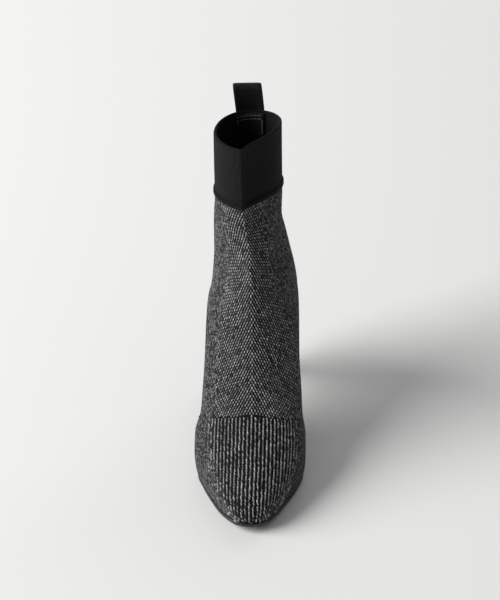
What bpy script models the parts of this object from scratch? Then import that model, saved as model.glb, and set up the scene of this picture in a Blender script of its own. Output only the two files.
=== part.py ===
"""Knitted sock boot on a slim heel, made for the right foot.

Metres, +Z up. The toe points to -Y and the inner side of the foot to +X.
Every soft piece is cut from one form, a last with a slack shaft. Its sections
fan from the toe over the instep to the collar. While it is modelled, y runs
back from the toe tip, and the stand at the end brings the boot over the origin.
"""
import math

import bmesh
import bpy
import numpy as np

# Driving dimensions of the form
BOOT_LENGTH = 0.2320       # toe tip to the back of the heel seat
BALL_WIDTH = 0.0842        # widest place of the upper, at the ball
HEEL_WIDTH = 0.0727        # widest place of the heel cup and the ankle
INSTEP_HEIGHT = 0.0700     # section height in the waist
HEEL_TO_INSTEP = 0.1200    # back of the seat up to the bend of the ankle
HEEL_HEIGHT = 0.0610       # rise of the back of the seat over the ball
TOE_SPRING = 0.0055        # lift of the toe tip
SHAFT_HEIGHT = 0.1620      # back of the seat up to the rim
COLLAR_DEPTH = 0.0805      # front crease to the back of the rim
COLLAR_WIDTH = 0.0506
BACK_BULGE = 0.0080        # how far the back line waves

# Walls, layers and clearances
GAP = 0.0003
KNIT_WALL = 0.0020
LASTING_MARGIN = 0.0090
SOLE_THICKNESS = 0.0030
SOLE_EDGE = 0.0010         # sole edge beyond the featherline
INSOLE_THICKNESS = 0.0022
INSOLE_CLEARANCE = 0.0015
CUFF_HEIGHT = 0.0496
CUFF_PLY = 0.0012
HEM_HEIGHT = 0.0046
GROOVE_DEPTH = 0.0004
RIM_ROUNDING = 0.0006
TAPE_WIDTH = 0.0215
TAPE_THICKNESS = 0.0011
TAPE_CENTRE = -0.0013      # place of the tape across the boot
LOOP_RISE = 0.0205         # top of the loop over the rim
LOOP_SEAM = 0.0180         # sewn length of the loop below the rim
LOOP_FOLD = 0.0068         # clear space between the legs at the fold
LOOP_LEAN = -0.0022        # sideways lean of the loop's top
STRIP_THICKNESS = 0.0008
STRIP_TOP = 0.0020         # below the rim
STRIP_BOTTOM = 0.0420      # below the rim
HEEL_SEAT_LENGTH = 0.0520  # back of the seat to the front of the heel
HEEL_TIP_LENGTH = 0.0135
HEEL_TIP_WIDTH = 0.0140
HEEL_TIP_SETIN = 0.0250    # back of the seat to the middle of the tip
TOP_PIECE_THICKNESS = 0.0060
HEEL_SETBACK = 0.0006      # heel inside the sole edge

# Shapes of single pieces
TIP_CORNER = 2.6           # power of the tip's rounded square, 2 is an ellipse
HEEL_TAPER = (0.12, 2.6)   # even share of the heel's taper, power of the rest
GROOVE_SLOPE = 0.0024      # height over which the cuff's groove runs out
CUFF_LEVELS = (0.64, 0.42, 0.20)
LOOP_OPENING = 0.35        # share of the seam above which the loop opens
LOOP_FLATNESS = 0.75       # how much straighter than the rim the loop's top is

# Side line of the sole: along is a share of the length, rise of the heel height
SOLE_COLUMNS = ("along", "rise")
SOLE_LINE = (
    (0.000, 0.000),
    (0.350, 0.000),
    (0.405, 0.025),
    (0.460, 0.115),
    (0.540, 0.330),
    (0.640, 0.620),
    (0.750, 0.845),
    (0.857, 0.935),
    (1.000, 1.000),
)
SPRING_END = 0.220         # share of the length where the toe spring ends

# Foot sections. along is a share of BOOT_LENGTH and height of INSTEP_HEIGHT.
# The next five are places across the boot, as shares of BALL_WIDTH.
FOOT_COLUMNS = ("along", "lean", "height", "lateral", "medial", "feather_lateral",
                "feather_medial", "ridge", "widest", "crown", "base")
FOOT_SECTIONS = (
    (0.0000, 0.0, 0.000, 0.026, 0.026, 0.026, 0.026, 0.026, 0.36, 2.20, 2.2),
    (0.0108, 0.0, 0.129, -0.089, 0.137, -0.077, 0.125, 0.026, 0.36, 2.20, 2.2),
    (0.0345, 0.0, 0.221, -0.160, 0.196, -0.143, 0.179, 0.027, 0.36, 2.10, 2.2),
    (0.0776, 0.0, 0.321, -0.248, 0.272, -0.226, 0.250, 0.028, 0.36, 1.98, 2.2),
    (0.1422, 0.0, 0.443, -0.338, 0.360, -0.312, 0.334, 0.030, 0.36, 1.88, 2.2),
    (0.2155, 0.0, 0.586, -0.428, 0.448, -0.398, 0.418, 0.030, 0.36, 1.78, 2.2),
    (0.2845, 2.0, 0.736, -0.490, 0.496, -0.457, 0.463, 0.030, 0.36, 1.62, 2.2),
    (0.3664, 8.0, 0.880, -0.497, 0.496, -0.445, 0.434, 0.030, 0.38, 1.45, 2.2),
    (0.4526, 18.0, 0.930, -0.455, 0.468, -0.374, 0.344, 0.029, 0.41, 1.32, 2.2),
    (0.5388, 26.0, 0.955, -0.439, 0.455, -0.324, 0.295, 0.028, 0.44, 1.24, 2.2),
)

# Heel sections. along is a share of BOOT_LENGTH, height of HEEL_TO_INSTEP, and
# the places across the boot are shares of HEEL_WIDTH.
HEEL_SECTIONS = (
    (0.6450, 34.0, 0.585, -0.494, 0.505, -0.360, 0.360, 0.027, 0.45, 1.20, 2.2),
    (0.7520, 42.0, 0.685, -0.490, 0.502, -0.375, 0.388, 0.019, 0.45, 1.18, 2.2),
    (0.8600, 49.0, 0.815, -0.488, 0.497, -0.368, 0.385, 0.015, 0.45, 1.17, 2.2),
    (0.9480, 53.2, 0.935, -0.474, 0.489, -0.262, 0.278, 0.012, 0.46, 1.17, 2.2),
    (1.0000, 55.2, 1.013, -0.457, 0.479, 0.008, 0.008, 0.011, 0.46, 1.17, 2.2),
)

# Shaft sections. up is a share of SHAFT_HEIGHT, back of BACK_BULGE, depth of
# COLLAR_DEPTH. slim runs from the heel cup's width, 0, to the collar's, 1.
# middle, spine and ridge are shares of COLLAR_WIDTH. The inner side has its own
# widest and crown, because there the collar runs straight to the front crease.
SHAFT_COLUMNS = ("up", "back", "lean", "depth", "slim", "middle", "spine", "ridge",
                 "widest", "crown", "medial_widest", "medial_crown", "base")
SHAFT_SECTIONS = (
    (0.065, 0.31, 57.4, 1.467, 0.30, 0.020, 0.012, 0.010, 0.46, 1.18, 0.45, 1.14, 2.2),
    (0.157, 0.25, 60.2, 1.371, 0.43, 0.013, 0.012, 0.004, 0.46, 1.20, 0.44, 1.10, 2.2),
    (0.281, -0.19, 65.1, 1.219, 0.61, -0.007, 0.013, -0.004, 0.46, 1.22, 0.42, 1.04, 2.15),
    (0.404, -0.69, 69.8, 1.082, 0.77, -0.035, 0.015, -0.020, 0.46, 1.26, 0.40, 0.96, 2.1),
    (0.528, -0.88, 77.0, 0.995, 0.94, -0.060, 0.018, -0.051, 0.48, 1.30, 0.38, 0.86, 2.05),
    (0.682, -0.75, 86.0, 0.954, 0.97, -0.040, 0.022, -0.071, 0.50, 1.33, 0.35, 0.74, 2.0),
    (0.836, -0.44, 86.9, 0.960, 0.98, -0.038, 0.027, -0.077, 0.51, 1.35, 0.32, 0.66, 2.05),
    (1.000, -0.06, 87.5, 1.000, 1.00, -0.032, 0.032, -0.079, 0.52, 1.35, 0.29, 0.60, 2.1),
)

SHAPE_MEASURES = ("ridge", "widest", "crown", "medial_widest", "medial_crown", "base")

# Mesh density
STEPS_PER_ROW = 2
LOWER_STEPS = 8            # from the featherline or the back up to the widest place
UPPER_STEPS = 10           # from the widest place up to the ridge
AROUND = 2 * (LOWER_STEPS + UPPER_STEPS)
TAPE_STEPS = 8             # across the tape
LEG_STEPS = 9              # along each leg of the loop
FOLD_STEPS = 8             # round the loop's fold
STRIP_STEPS = 8            # along the back strip
BACK_SAMPLES = 400         # samples of the back line, to find a depth below the rim
SHARP_ANGLE = math.radians(35)
HEEL_LEVELS = 10
BREAST_STEPS = 4
DIFFERENCE = 1e-4          # share of the form, for its tangents
CAP_TURN = (0.45, 0.75)    # how far an outline turns across before its rungs shift

# Colour, roughness and metallic value of each material
COLOURS = {
    "charcoal_knit": ((0.105, 0.105, 0.110, 1.0), 0.90, 0.0),
    "black_elastic": ((0.018, 0.018, 0.019, 1.0), 0.80, 0.0),
    "black_tape": ((0.022, 0.022, 0.024, 1.0), 0.75, 0.0),
    "black_lining": ((0.012, 0.012, 0.013, 1.0), 0.85, 0.0),
    "black_rubber": ((0.014, 0.014, 0.015, 1.0), 0.50, 0.0),
    "black_heel": ((0.012, 0.012, 0.013, 1.0), 0.30, 0.0),
}


def clear_scene():
    for thing in list(bpy.data.objects):
        bpy.data.objects.remove(thing, do_unlink=True)


def material(name):
    colour, roughness, metallic = COLOURS[name]
    made = bpy.data.materials.new(name)
    made.use_nodes = True
    shader = made.node_tree.nodes["Principled BSDF"]
    shader.inputs["Base Color"].default_value = colour
    shader.inputs["Roughness"].default_value = roughness
    shader.inputs["Metallic"].default_value = metallic
    return made


def smooth(knots, values, where):
    """Cubic curve through a table's values that never overshoots them."""
    knots = np.asarray(knots, float)
    values = np.asarray(values, float)
    step = np.diff(knots)
    slope = np.diff(values) / step
    tangent = np.zeros(len(knots))
    for i in range(1, len(knots) - 1):
        if slope[i - 1] * slope[i] > 0:
            before = 2 * step[i] + step[i - 1]
            after = step[i] + 2 * step[i - 1]
            tangent[i] = (before + after) / (before / slope[i - 1] + after / slope[i])
    tangent[0] = end_tangent(step[0], step[1], slope[0], slope[1])
    tangent[-1] = end_tangent(step[-1], step[-2], slope[-1], slope[-2])
    where = np.clip(where, knots[0], knots[-1])
    i = np.clip(np.searchsorted(knots, where, side="right") - 1, 0, len(step) - 1)
    t = (where - knots[i]) / step[i]
    start = (1 + 2 * t) * (1 - t) ** 2 * values[i] + t * (1 - t) ** 2 * step[i] * tangent[i]
    end = t * t * (3 - 2 * t) * values[i + 1] - t * t * (1 - t) * step[i] * tangent[i + 1]
    return start + end


def end_tangent(step, next_step, slope, next_slope):
    """One-sided tangent at a curve's end, kept on the side of its slope."""
    tangent = ((2 * step + next_step) * slope - step * next_slope) / (step + next_step)
    if tangent * slope <= 0:
        return 0.0
    return math.copysign(min(abs(tangent), 3 * abs(slope)), slope)


def seat_height(y):
    """Height of the featherline over the floor, y behind the toe tip."""
    along = np.asarray(y, float) / BOOT_LENGTH
    table = np.array(SOLE_LINE)
    rise = smooth(table[:, SOLE_COLUMNS.index("along")], table[:, SOLE_COLUMNS.index("rise")],
                  along)
    spring = np.clip(1 - along / SPRING_END, 0, None) ** 2
    return SOLE_THICKNESS + GAP + HEEL_HEIGHT * rise + TOE_SPRING * spring


def slope_stretch(y):
    """How much longer an upright measure is than one square to the sole."""
    reach = BOOT_LENGTH * DIFFERENCE
    slope = (seat_height(y + reach) - seat_height(y - reach)) / (2 * reach)
    return np.sqrt(1 + slope ** 2)


def columns(names, rows):
    return dict(zip(names, np.array(rows, float).T))


class Form:
    """The boot's form: a curve for each measure of its sections, over one run."""

    def __init__(self):
        foot = columns(FOOT_COLUMNS, FOOT_SECTIONS)
        heel = columns(FOOT_COLUMNS, HEEL_SECTIONS)
        shaft = columns(SHAFT_COLUMNS, SHAFT_SECTIONS)
        self.sole_rows = len(FOOT_SECTIONS) + len(HEEL_SECTIONS)

        low_y = np.concatenate([foot["along"], heel["along"]]) * BOOT_LENGTH
        shaft_low_y = BOOT_LENGTH + shaft["back"] * BACK_BULGE
        self.low_y = np.concatenate([low_y, shaft_low_y])
        seat = seat_height(low_y)
        self.low_z = np.concatenate([seat, seat[-1] + shaft["up"] * SHAFT_HEIGHT])

        height = np.concatenate([foot["height"] * INSTEP_HEIGHT,
                                 heel["height"] * HEEL_TO_INSTEP,
                                 shaft["depth"] * COLLAR_DEPTH])
        lean = np.radians(np.concatenate([foot["lean"], heel["lean"], shaft["lean"]]))
        half = (HEEL_WIDTH + (COLLAR_WIDTH - HEEL_WIDTH) * shaft["slim"]) / 2
        middle = shaft["middle"] * COLLAR_WIDTH
        self.joint = {
            "top_y": self.low_y - height * np.sin(lean),
            "top_z": self.low_z + height * np.cos(lean),
            "lateral": self.across(foot, heel, "lateral", middle - half),
            "medial": self.across(foot, heel, "medial", middle + half),
            "ridge": self.across(foot, heel, "ridge", shaft["ridge"] * COLLAR_WIDTH),
        }
        for name in ("widest", "crown", "base"):
            self.joint[name] = np.concatenate([foot[name], heel[name], shaft[name]])
        for name in ("widest", "crown"):
            inner = "medial_" + name
            self.joint[inner] = np.concatenate([foot[name], heel[name], shaft[inner]])
        spine = shaft["spine"] * COLLAR_WIDTH
        self.feather = {
            "lateral": self.across(foot, heel, "feather_lateral", spine),
            "medial": self.across(foot, heel, "feather_medial", spine),
        }
        self.knots = self.run()
        self.heel_back = self.knots[self.sole_rows - 1]
        self.rim = self.knots[-1]

    @staticmethod
    def across(foot, heel, name, shaft):
        return np.concatenate([foot[name] * BALL_WIDTH, heel[name] * HEEL_WIDTH, shaft])

    def run(self):
        """Place of each row along the form, by the chords between the rows."""
        table = np.array([self.low_y, self.low_z, self.joint["top_y"], self.joint["top_z"],
                          self.joint["lateral"], self.joint["medial"]])
        chords = np.linalg.norm(np.diff(table, axis=1), axis=0)
        return np.concatenate([[0.0], np.cumsum(chords)])

    def curve(self, name, run):
        return smooth(self.knots, self.joint[name], run)

    def low_curve(self, values, run):
        """A curve with a corner at the back of the seat: sole first, then back line."""
        turn = self.sole_rows
        on_sole = smooth(self.knots[:turn], values[:turn], run)
        on_back = smooth(self.knots[turn - 1:], values[turn - 1:], run)
        return np.where(run <= self.heel_back, on_sole, on_back)

    def outline(self, run, inset=0.0):
        """The featherline on the plan, set in by inset: y, lateral x, medial x."""
        before, after = self.beside(run, self.heel_back)
        low_y = smooth(self.knots[:self.sole_rows], self.low_y[:self.sole_rows], run)
        lateral = self.low_curve(self.feather["lateral"], run)
        medial = self.low_curve(self.feather["medial"], run)
        turn = self.sole_rows
        ahead = smooth(self.knots[:turn], self.low_y[:turn], after)
        behind = smooth(self.knots[:turn], self.low_y[:turn], before)
        widths = [self.low_curve(self.feather["medial"], place)
                  - self.low_curve(self.feather["lateral"], place) for place in (before, after)]
        grows = (widths[1] - widths[0]) / 2
        length = np.hypot(grows, ahead - behind)
        inward_y = grows / length
        turned = np.clip((np.abs(inward_y) - CAP_TURN[0]) / (CAP_TURN[1] - CAP_TURN[0]), 0, 1)
        back = inward_y * turned ** 2 * (3 - 2 * turned)
        inward_x = np.maximum((ahead - behind) / length, DIFFERENCE)
        aside = inset * (1 - inward_y * back) / inward_x
        aside = np.where(np.abs(inward_y) > 1 - DIFFERENCE, 0.0, aside)
        return low_y + inset * back, lateral + aside, medial - aside

    def beside(self, run, end):
        """Places just before and just after, within the run from 0 to end."""
        reach = DIFFERENCE * self.rim
        return np.clip(run - reach, 0, end), np.clip(run + reach, 0, end)

    def sections(self, run, inset=0.0):
        """Measures of the sections at each place of the run, set in by inset."""
        run = np.atleast_1d(np.asarray(run, float))
        before, after = self.beside(run, self.rim)
        made = {name: self.curve(name, run) for name in SHAPE_MEASURES}

        rate = {name: self.curve(name, after) - self.curve(name, before)
                for name in ("top_y", "top_z", "lateral", "medial")}
        top_length = np.hypot(rate["top_y"], rate["top_z"])
        made["top_y"] = self.curve("top_y", run) + inset * rate["top_z"] / top_length
        made["top_z"] = self.curve("top_z", run) - inset * rate["top_y"] / top_length

        low_y = self.low_curve(self.low_y, run)
        low_z = self.low_curve(self.low_z, run)
        on_sole = run <= self.heel_back
        back_before = np.clip(before, self.heel_back, self.rim)
        back_after = np.clip(after, self.heel_back + DIFFERENCE * self.rim, self.rim)
        rise_y = self.low_curve(self.low_y, back_after) - self.low_curve(self.low_y, back_before)
        rise_z = self.low_curve(self.low_z, back_after) - self.low_curve(self.low_z, back_before)
        rise = np.hypot(rise_y, rise_z)
        sole_y, sole_lateral, sole_medial = self.outline(np.minimum(run, self.heel_back), inset)
        made["low_y"] = np.where(on_sole, sole_y, low_y - inset * rise_z / rise)
        lifted = seat_height(sole_y) + inset * slope_stretch(sole_y)
        made["low_z"] = np.where(on_sole, lifted, low_z + inset * rise_y / rise)
        spine_lateral = self.low_curve(self.feather["lateral"], run)
        spine_medial = self.low_curve(self.feather["medial"], run)
        made["feather_lateral"] = np.where(on_sole, sole_lateral, spine_lateral)
        made["feather_medial"] = np.where(on_sole, sole_medial, spine_medial)

        side_y, side_z = self.side_rate(before, after)
        sideways = (rate["medial"] - rate["lateral"]) / 2
        travel = np.hypot(side_y, side_z)
        share = travel / np.hypot(travel, sideways)
        made["lateral"] = self.curve("lateral", run) + inset * share
        made["medial"] = self.curve("medial", run) - inset * share
        return made

    def side_rate(self, before, after):
        """How far the widest place travels back and up between two places."""
        ends = []
        for run in (before, after):
            widest = self.curve("widest", run)
            low_y = self.low_curve(self.low_y, run)
            low_z = self.low_curve(self.low_z, run)
            ends.append((low_y + widest * (self.curve("top_y", run) - low_y),
                         low_z + widest * (self.curve("top_z", run) - low_z)))
        return ends[1][0] - ends[0][0], ends[1][1] - ends[0][1]

    def at_back(self, below_rim):
        """Place of the run whose back point lies this far below the rim."""
        runs = np.linspace(self.heel_back, self.rim, BACK_SAMPLES)
        heights = self.low_curve(self.low_z, runs)
        return float(np.interp(heights[-1] - below_rim, heights, runs))


def section_shares():
    """Shares for the lower and the upper part of a section's side."""
    lower = np.arange(LOWER_STEPS + 1) / LOWER_STEPS
    upper = np.arange(1, UPPER_STEPS + 1) / UPPER_STEPS * math.pi / 2
    return lower, upper


def section_points(made, i):
    """Points of one section, from the lateral featherline over the top to the medial."""
    lower, upper = section_shares()
    ridge, base = made["ridge"][i], made["base"][i]
    middle = (made["feather_lateral"][i] + made["feather_medial"][i]) / 2
    sides = []
    for side, prefix in (("lateral", ""), ("medial", "medial_")):
        widest = made[prefix + "widest"][i]
        crown = made[prefix + "crown"][i]
        wide = made[side][i]
        feather = made["feather_" + side][i]
        spread = abs(wide - middle)
        closed = 1 - abs(feather - middle) / spread if spread > 0 else 1.0
        share = (1 - closed) * lower + closed * (1 - np.cos(lower * math.pi / 2))
        low_x = feather + (wide - feather) * (1 - (1 - share) ** base) ** (1 / base)
        top_x = ridge + (wide - ridge) * np.clip(np.cos(upper), 0, 1) ** (2 / crown)
        low_h = widest * share
        top_h = widest + (1 - widest) * np.sin(upper)
        x = np.concatenate([low_x, top_x])
        h = np.concatenate([low_h, top_h])
        y = made["low_y"][i] + h * (made["top_y"][i] - made["low_y"][i])
        z = made["low_z"][i] + h * (made["top_z"][i] - made["low_z"][i])
        sides.append(np.column_stack([x, y, z]))
    return np.vstack([sides[0], sides[1][-2::-1]])


def form_rings(form, runs, inset=0.0):
    made = form.sections(runs, inset)
    return [section_points(made, i) for i in range(len(runs))]


class Solid:
    """Vertices and faces of one closed solid, made row by row."""

    def __init__(self):
        self.points = []
        self.faces = []

    def add(self, points):
        first = len(self.points)
        self.points.extend(tuple(float(v) for v in point) for point in points)
        return list(range(first, len(self.points)))

    def face(self, corners):
        kept = [c for k, c in enumerate(corners) if c != corners[k - 1]]
        if len(kept) > 2:
            self.faces.append(kept)

    def strip(self, one, other, closed=False):
        """Quads between two rows of equal length."""
        count = len(one)
        for k in range(count if closed else count - 1):
            after = (k + 1) % count
            self.face([one[k], one[after], other[after], other[k]])

    def build(self, name, material_name, parent):
        mesh = bpy.data.meshes.new(name)
        mesh.from_pydata(self.points, [], self.faces)
        work = bmesh.new()
        work.from_mesh(mesh)
        bmesh.ops.recalc_face_normals(work, faces=work.faces)
        bmesh.ops.triangulate(work, faces=work.faces)
        work.to_mesh(mesh)
        work.free()
        mesh.shade_smooth()
        mesh.set_sharp_from_angle(angle=SHARP_ANGLE)
        mesh.materials.append(material(material_name))
        made = bpy.data.objects.new(name, mesh)
        bpy.context.scene.collection.objects.link(made)
        made.parent = parent
        return made


def run_steps(form, end):
    """Places of the upper's sections, up to a last one at end."""
    places = []
    for start, stop in zip(form.knots[:-1], form.knots[1:]):
        places.extend(np.linspace(start, stop, STEPS_PER_ROW, endpoint=False))
    nearest = (places[1] - places[0]) / 3
    places = [place for place in places if place < end - nearest]
    return np.array(places + [end])


def sole_steps(form):
    places = run_steps(form, form.rim)
    return places[places <= form.heel_back + DIFFERENCE]


def knit_top(form):
    """Where the knit ends, inside the hem of the cuff."""
    return form.at_back(CUFF_HEIGHT - HEM_HEIGHT + 2 * GAP)


def tube_rows(solid, form, runs, inset):
    """Vertex rows of the upper's surface: one point at the toe, open over the sole."""
    rows = []
    for k, ring in enumerate(form_rings(form, runs, inset)):
        if k == 0:
            rows.append(solid.add(ring[:1]) * (AROUND + 1))
        elif runs[k] < form.heel_back - DIFFERENCE:
            rows.append(solid.add(ring))
        else:
            row = solid.add(ring[:-1])
            rows.append(row + row[:1])
    return rows


def opening_loop(rows, count):
    """The edge over the sole: back of the seat, lateral side, toe, medial side."""
    lateral = [rows[k][0] for k in range(count - 1, -1, -1)]
    medial = [rows[k][-1] for k in range(1, count - 1)]
    return lateral + medial


def margin_points(form, runs, lift):
    """Inner edge of the turned-in margin, in the order of the opening's loop."""
    y, lateral, medial = form.outline(runs, LASTING_MARGIN)
    z = seat_height(y) + lift * slope_stretch(y)
    one = np.column_stack([lateral, y, z])[::-1]
    other = np.column_stack([medial, y, z])[1:-1]
    return np.vstack([one, other])


def build_upper(form, parent):
    """One knitted wall, open at the top and over the sole, with its lasting margin."""
    solid = Solid()
    runs = run_steps(form, knit_top(form))
    sole_runs = sole_steps(form)
    loops = []
    ends = []
    for inset in (0.0, KNIT_WALL):
        rows = tube_rows(solid, form, runs, inset)
        for one, other in zip(rows[:-1], rows[1:]):
            solid.strip(one, other)
        edge = opening_loop(rows, len(sole_runs))
        margin = solid.add(margin_points(form, sole_runs, inset))
        solid.strip(edge, margin, closed=True)
        loops.append(margin)
        ends.append(rows[-1][:-1])
    solid.strip(loops[0], loops[1], closed=True)
    solid.strip(ends[0], ends[1], closed=True)
    return solid.build("upper", "charcoal_knit", parent)


def cuff_profile():
    """Section of the folded elastic: depth below the rim and offset from the knit."""
    hem_top = CUFF_HEIGHT - HEM_HEIGHT
    groove_end = hem_top - GROOVE_SLOPE
    body = [CUFF_HEIGHT * level for level in CUFF_LEVELS]
    inner_face = -2 * CUFF_PLY
    hem_inner = -KNIT_WALL - GAP
    outside = [(CUFF_HEIGHT, GAP), (CUFF_HEIGHT, GAP + CUFF_PLY),
               (hem_top + RIM_ROUNDING, GAP + CUFF_PLY), (hem_top - RIM_ROUNDING, -GROOVE_DEPTH),
               (groove_end, 0.0)]
    outside += [(below, 0.0) for below in body]
    rim = [(RIM_ROUNDING, 0.0), (0.0, -RIM_ROUNDING), (0.0, inner_face + RIM_ROUNDING),
           (RIM_ROUNDING, inner_face)]
    inside = [(below, inner_face) for below in reversed(body)]
    inside += [(groove_end, inner_face), (hem_top, hem_inner - CUFF_PLY),
               (CUFF_HEIGHT, hem_inner - CUFF_PLY), (CUFF_HEIGHT, hem_inner)]
    slot = [(hem_top + GAP, hem_inner), (hem_top + GAP, GAP)]
    return outside + rim + inside + slot


def build_cuff(form, parent):
    """Folded elastic band that holds the knit's top edge in its hem."""
    solid = Solid()
    rows = []
    for below, offset in cuff_profile():
        ring = form_rings(form, [form.at_back(below)], -offset)[0]
        rows.append(solid.add(ring[:-1]))
    for one, other in zip(rows, rows[1:] + rows[:1]):
        solid.strip(one, other, closed=True)
    return solid.build("cuff", "black_elastic", parent)


def back_points(form, below, outward, across):
    """Points on the back of the form, at places across the tape."""
    made = form.sections([form.at_back(below)], -outward)
    spine = made["feather_lateral"][0]
    points = []
    for x in TAPE_CENTRE + across:
        side, prefix = ("lateral", "") if x < spine else ("medial", "medial_")
        spread = abs(made[side][0] - spine)
        base = made["base"][0]
        share = 1 - (1 - (abs(x - spine) / spread) ** base) ** (1 / base)
        h = share * made[prefix + "widest"][0]
        points.append((x,
                       made["low_y"][0] + h * (made["top_y"][0] - made["low_y"][0]),
                       made["low_z"][0] + h * (made["top_z"][0] - made["low_z"][0])))
    return np.array(points)


def thick_sheet(rows, thickness, name, material_name, parent):
    """A closed solid of even thickness about a grid of points."""
    grid = np.array(rows)
    along = np.gradient(grid, axis=0)
    across = np.gradient(grid, axis=1)
    normal = np.cross(along, across)
    normal /= np.linalg.norm(normal, axis=2, keepdims=True)
    solid = Solid()
    faces = [[solid.add(row) for row in grid + side * normal * thickness / 2] for side in (-1, 1)]
    for face in faces:
        for one, other in zip(face[:-1], face[1:]):
            solid.strip(one, other)
    for row in (0, -1):
        solid.strip(faces[0][row], faces[1][row])
    for edge in (0, -1):
        solid.strip([row[edge] for row in faces[0]], [row[edge] for row in faces[1]])
    return solid.build(name, material_name, parent)


def tape_across():
    return np.linspace(-TAPE_WIDTH / 2, TAPE_WIDTH / 2, TAPE_STEPS + 1)


def loop_path():
    """Route of the tape: rise over the rim, how open the loop is, and the leg."""
    radius = (LOOP_FOLD + TAPE_THICKNESS) / 2
    fold_start = LOOP_RISE - TAPE_THICKNESS / 2 - radius
    opening_start = -LOOP_OPENING * LOOP_SEAM
    closed_gap = TAPE_THICKNESS + GAP
    near = GAP + TAPE_THICKNESS / 2
    route = []
    for rise in np.linspace(-LOOP_SEAM, fold_start, LEG_STEPS):
        route.append((rise, near))
    for angle in np.linspace(0, math.pi, FOLD_STEPS + 1)[1:-1]:
        route.append((fold_start + radius * math.sin(angle),
                      near + radius * (1 - math.cos(angle))))
    for rise in np.linspace(fold_start, -LOOP_SEAM, LEG_STEPS):
        share = np.clip((rise - opening_start) / (fold_start - opening_start), 0, 1)
        opened = math.sin(share * math.pi / 2)
        route.append((rise, near + closed_gap + (2 * radius - closed_gap) * opened))
    return route


def build_pull_loop(form, parent):
    """Tape folded to a loop and sewn to the back of the cuff."""
    across = tape_across()
    rows = []
    for rise, outward in loop_path():
        below = max(-rise, 0.0)
        points = back_points(form, below, outward, across)
        over = max(rise, 0.0)
        flat = LOOP_FLATNESS * over / LOOP_RISE
        points[:, 1] += flat * (points[:, 1].max() - points[:, 1])
        points[:, 0] += LOOP_LEAN * over / LOOP_RISE
        points[:, 2] += over
        rows.append(points)
    return thick_sheet(rows, TAPE_THICKNESS, "pull_loop", "black_tape", parent)


def build_back_strip(form, parent):
    """Strip of tape that covers the loop's seam on the inside of the cuff."""
    middle = -2 * CUFF_PLY - GAP - STRIP_THICKNESS / 2
    rows = [back_points(form, below, middle, tape_across())
            for below in np.linspace(STRIP_TOP, STRIP_BOTTOM, STRIP_STEPS)]
    return thick_sheet(rows, STRIP_THICKNESS, "back_strip", "black_lining", parent)


def ladder_rows(solid, outline, height):
    """Lateral and medial vertices of each rung, one point at the toe and the back."""
    y, lateral, medial = outline
    rows = []
    for k in range(len(y)):
        if k in (0, len(y) - 1):
            middle = (lateral[k] + medial[k]) / 2
            rows.append(solid.add([(middle, y[k], height[k])]) * 2)
        else:
            rows.append(solid.add([(x[k], y[k], height[k]) for x in (lateral, medial)]))
    return rows


def build_sheet(form, inset, low, high, name, material_name, parent):
    """A sheet with the sole's outline between two heights over the featherline."""
    outline = form.outline(sole_steps(form), inset)
    y = outline[0]
    solid = Solid()
    rows = [ladder_rows(solid, outline, seat_height(y) + level * slope_stretch(y))
            for level in (low, high)]
    for face in rows:
        for one, other in zip(face[:-1], face[1:]):
            solid.face([one[0], one[1], other[1], other[0]])
    for edge in (0, 1):
        solid.strip([row[edge] for row in rows[0]], [row[edge] for row in rows[1]])
    return solid.build(name, material_name, parent)


def heel_outline(form):
    """Rungs of the heel seat, from the breast to the back."""
    runs = sole_steps(form)
    places = form.outline(runs)[0]
    runs = runs[places >= BOOT_LENGTH - HEEL_SEAT_LENGTH - GAP]
    return form.outline(runs, HEEL_SETBACK - SOLE_EDGE)


def tip_ring(top_ring, height):
    """The heel's tip: a rounded square, its points in the directions of the seat's."""
    middle = np.array([np.mean(top_ring[:, 0]), BOOT_LENGTH - HEEL_TIP_SETIN])
    away = top_ring[:, :2] - np.array([middle[0], np.mean(top_ring[:, 1])])
    angle = np.arctan2(away[:, 1] / np.ptp(away[:, 1]), away[:, 0] / np.ptp(away[:, 0]))
    reach = np.abs(np.cos(angle)) ** TIP_CORNER + np.abs(np.sin(angle)) ** TIP_CORNER
    size = reach ** (-1 / TIP_CORNER)
    x = middle[0] + HEEL_TIP_WIDTH / 2 * size * np.cos(angle)
    y = middle[1] + HEEL_TIP_LENGTH / 2 * size * np.sin(angle)
    return np.column_stack([x, y, np.full(len(x), height)])


def heel_rings(form):
    """Rings of the heel from the seat down to the tip."""
    y, lateral, medial = heel_outline(form)
    z = seat_height(y) - (GAP + SOLE_THICKNESS) * slope_stretch(y) - GAP
    breast = np.linspace(lateral[0], medial[0], BREAST_STEPS + 1)[1:-1]
    front = np.column_stack([breast, np.full(len(breast), y[0]), np.full(len(breast), z[0])])
    inner = np.column_stack([medial, y, z])
    outer = np.column_stack([lateral, y, z])[-2::-1]
    top = np.vstack([front, inner, outer])
    tip = tip_ring(top, TOP_PIECE_THICKNESS + GAP)
    rings = []
    for level in np.linspace(1, 0, HEEL_LEVELS + 1):
        even, power = HEEL_TAPER
        size = even * level + (1 - even) * level ** power
        ring = tip + (top - tip) * size
        ring[:, 2] = tip[:, 2] + (top[:, 2] - tip[:, 2]) * level
        rings.append(ring)
    return rings


def build_heel(form, parent):
    """Slim heel: the seat's outline drawn in to a small tip."""
    rings = heel_rings(form)
    solid = Solid()
    rows = [solid.add(ring) for ring in rings]
    for one, other in zip(rows[:-1], rows[1:]):
        solid.strip(one, other, closed=True)
    front = BREAST_STEPS - 1
    rungs = (len(rows[0]) - front + 1) // 2
    top = rows[0]
    inner = top[front:front + rungs]
    outer = [inner[-1]] + top[front + rungs:]
    outer.reverse()
    solid.face([outer[0]] + top[:front] + [inner[0], inner[1], outer[1]])
    for k in range(1, rungs - 1):
        solid.face([outer[k], inner[k], inner[k + 1], outer[k + 1]])
    solid.face(rows[-1])
    return solid.build("heel", "black_heel", parent)


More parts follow.
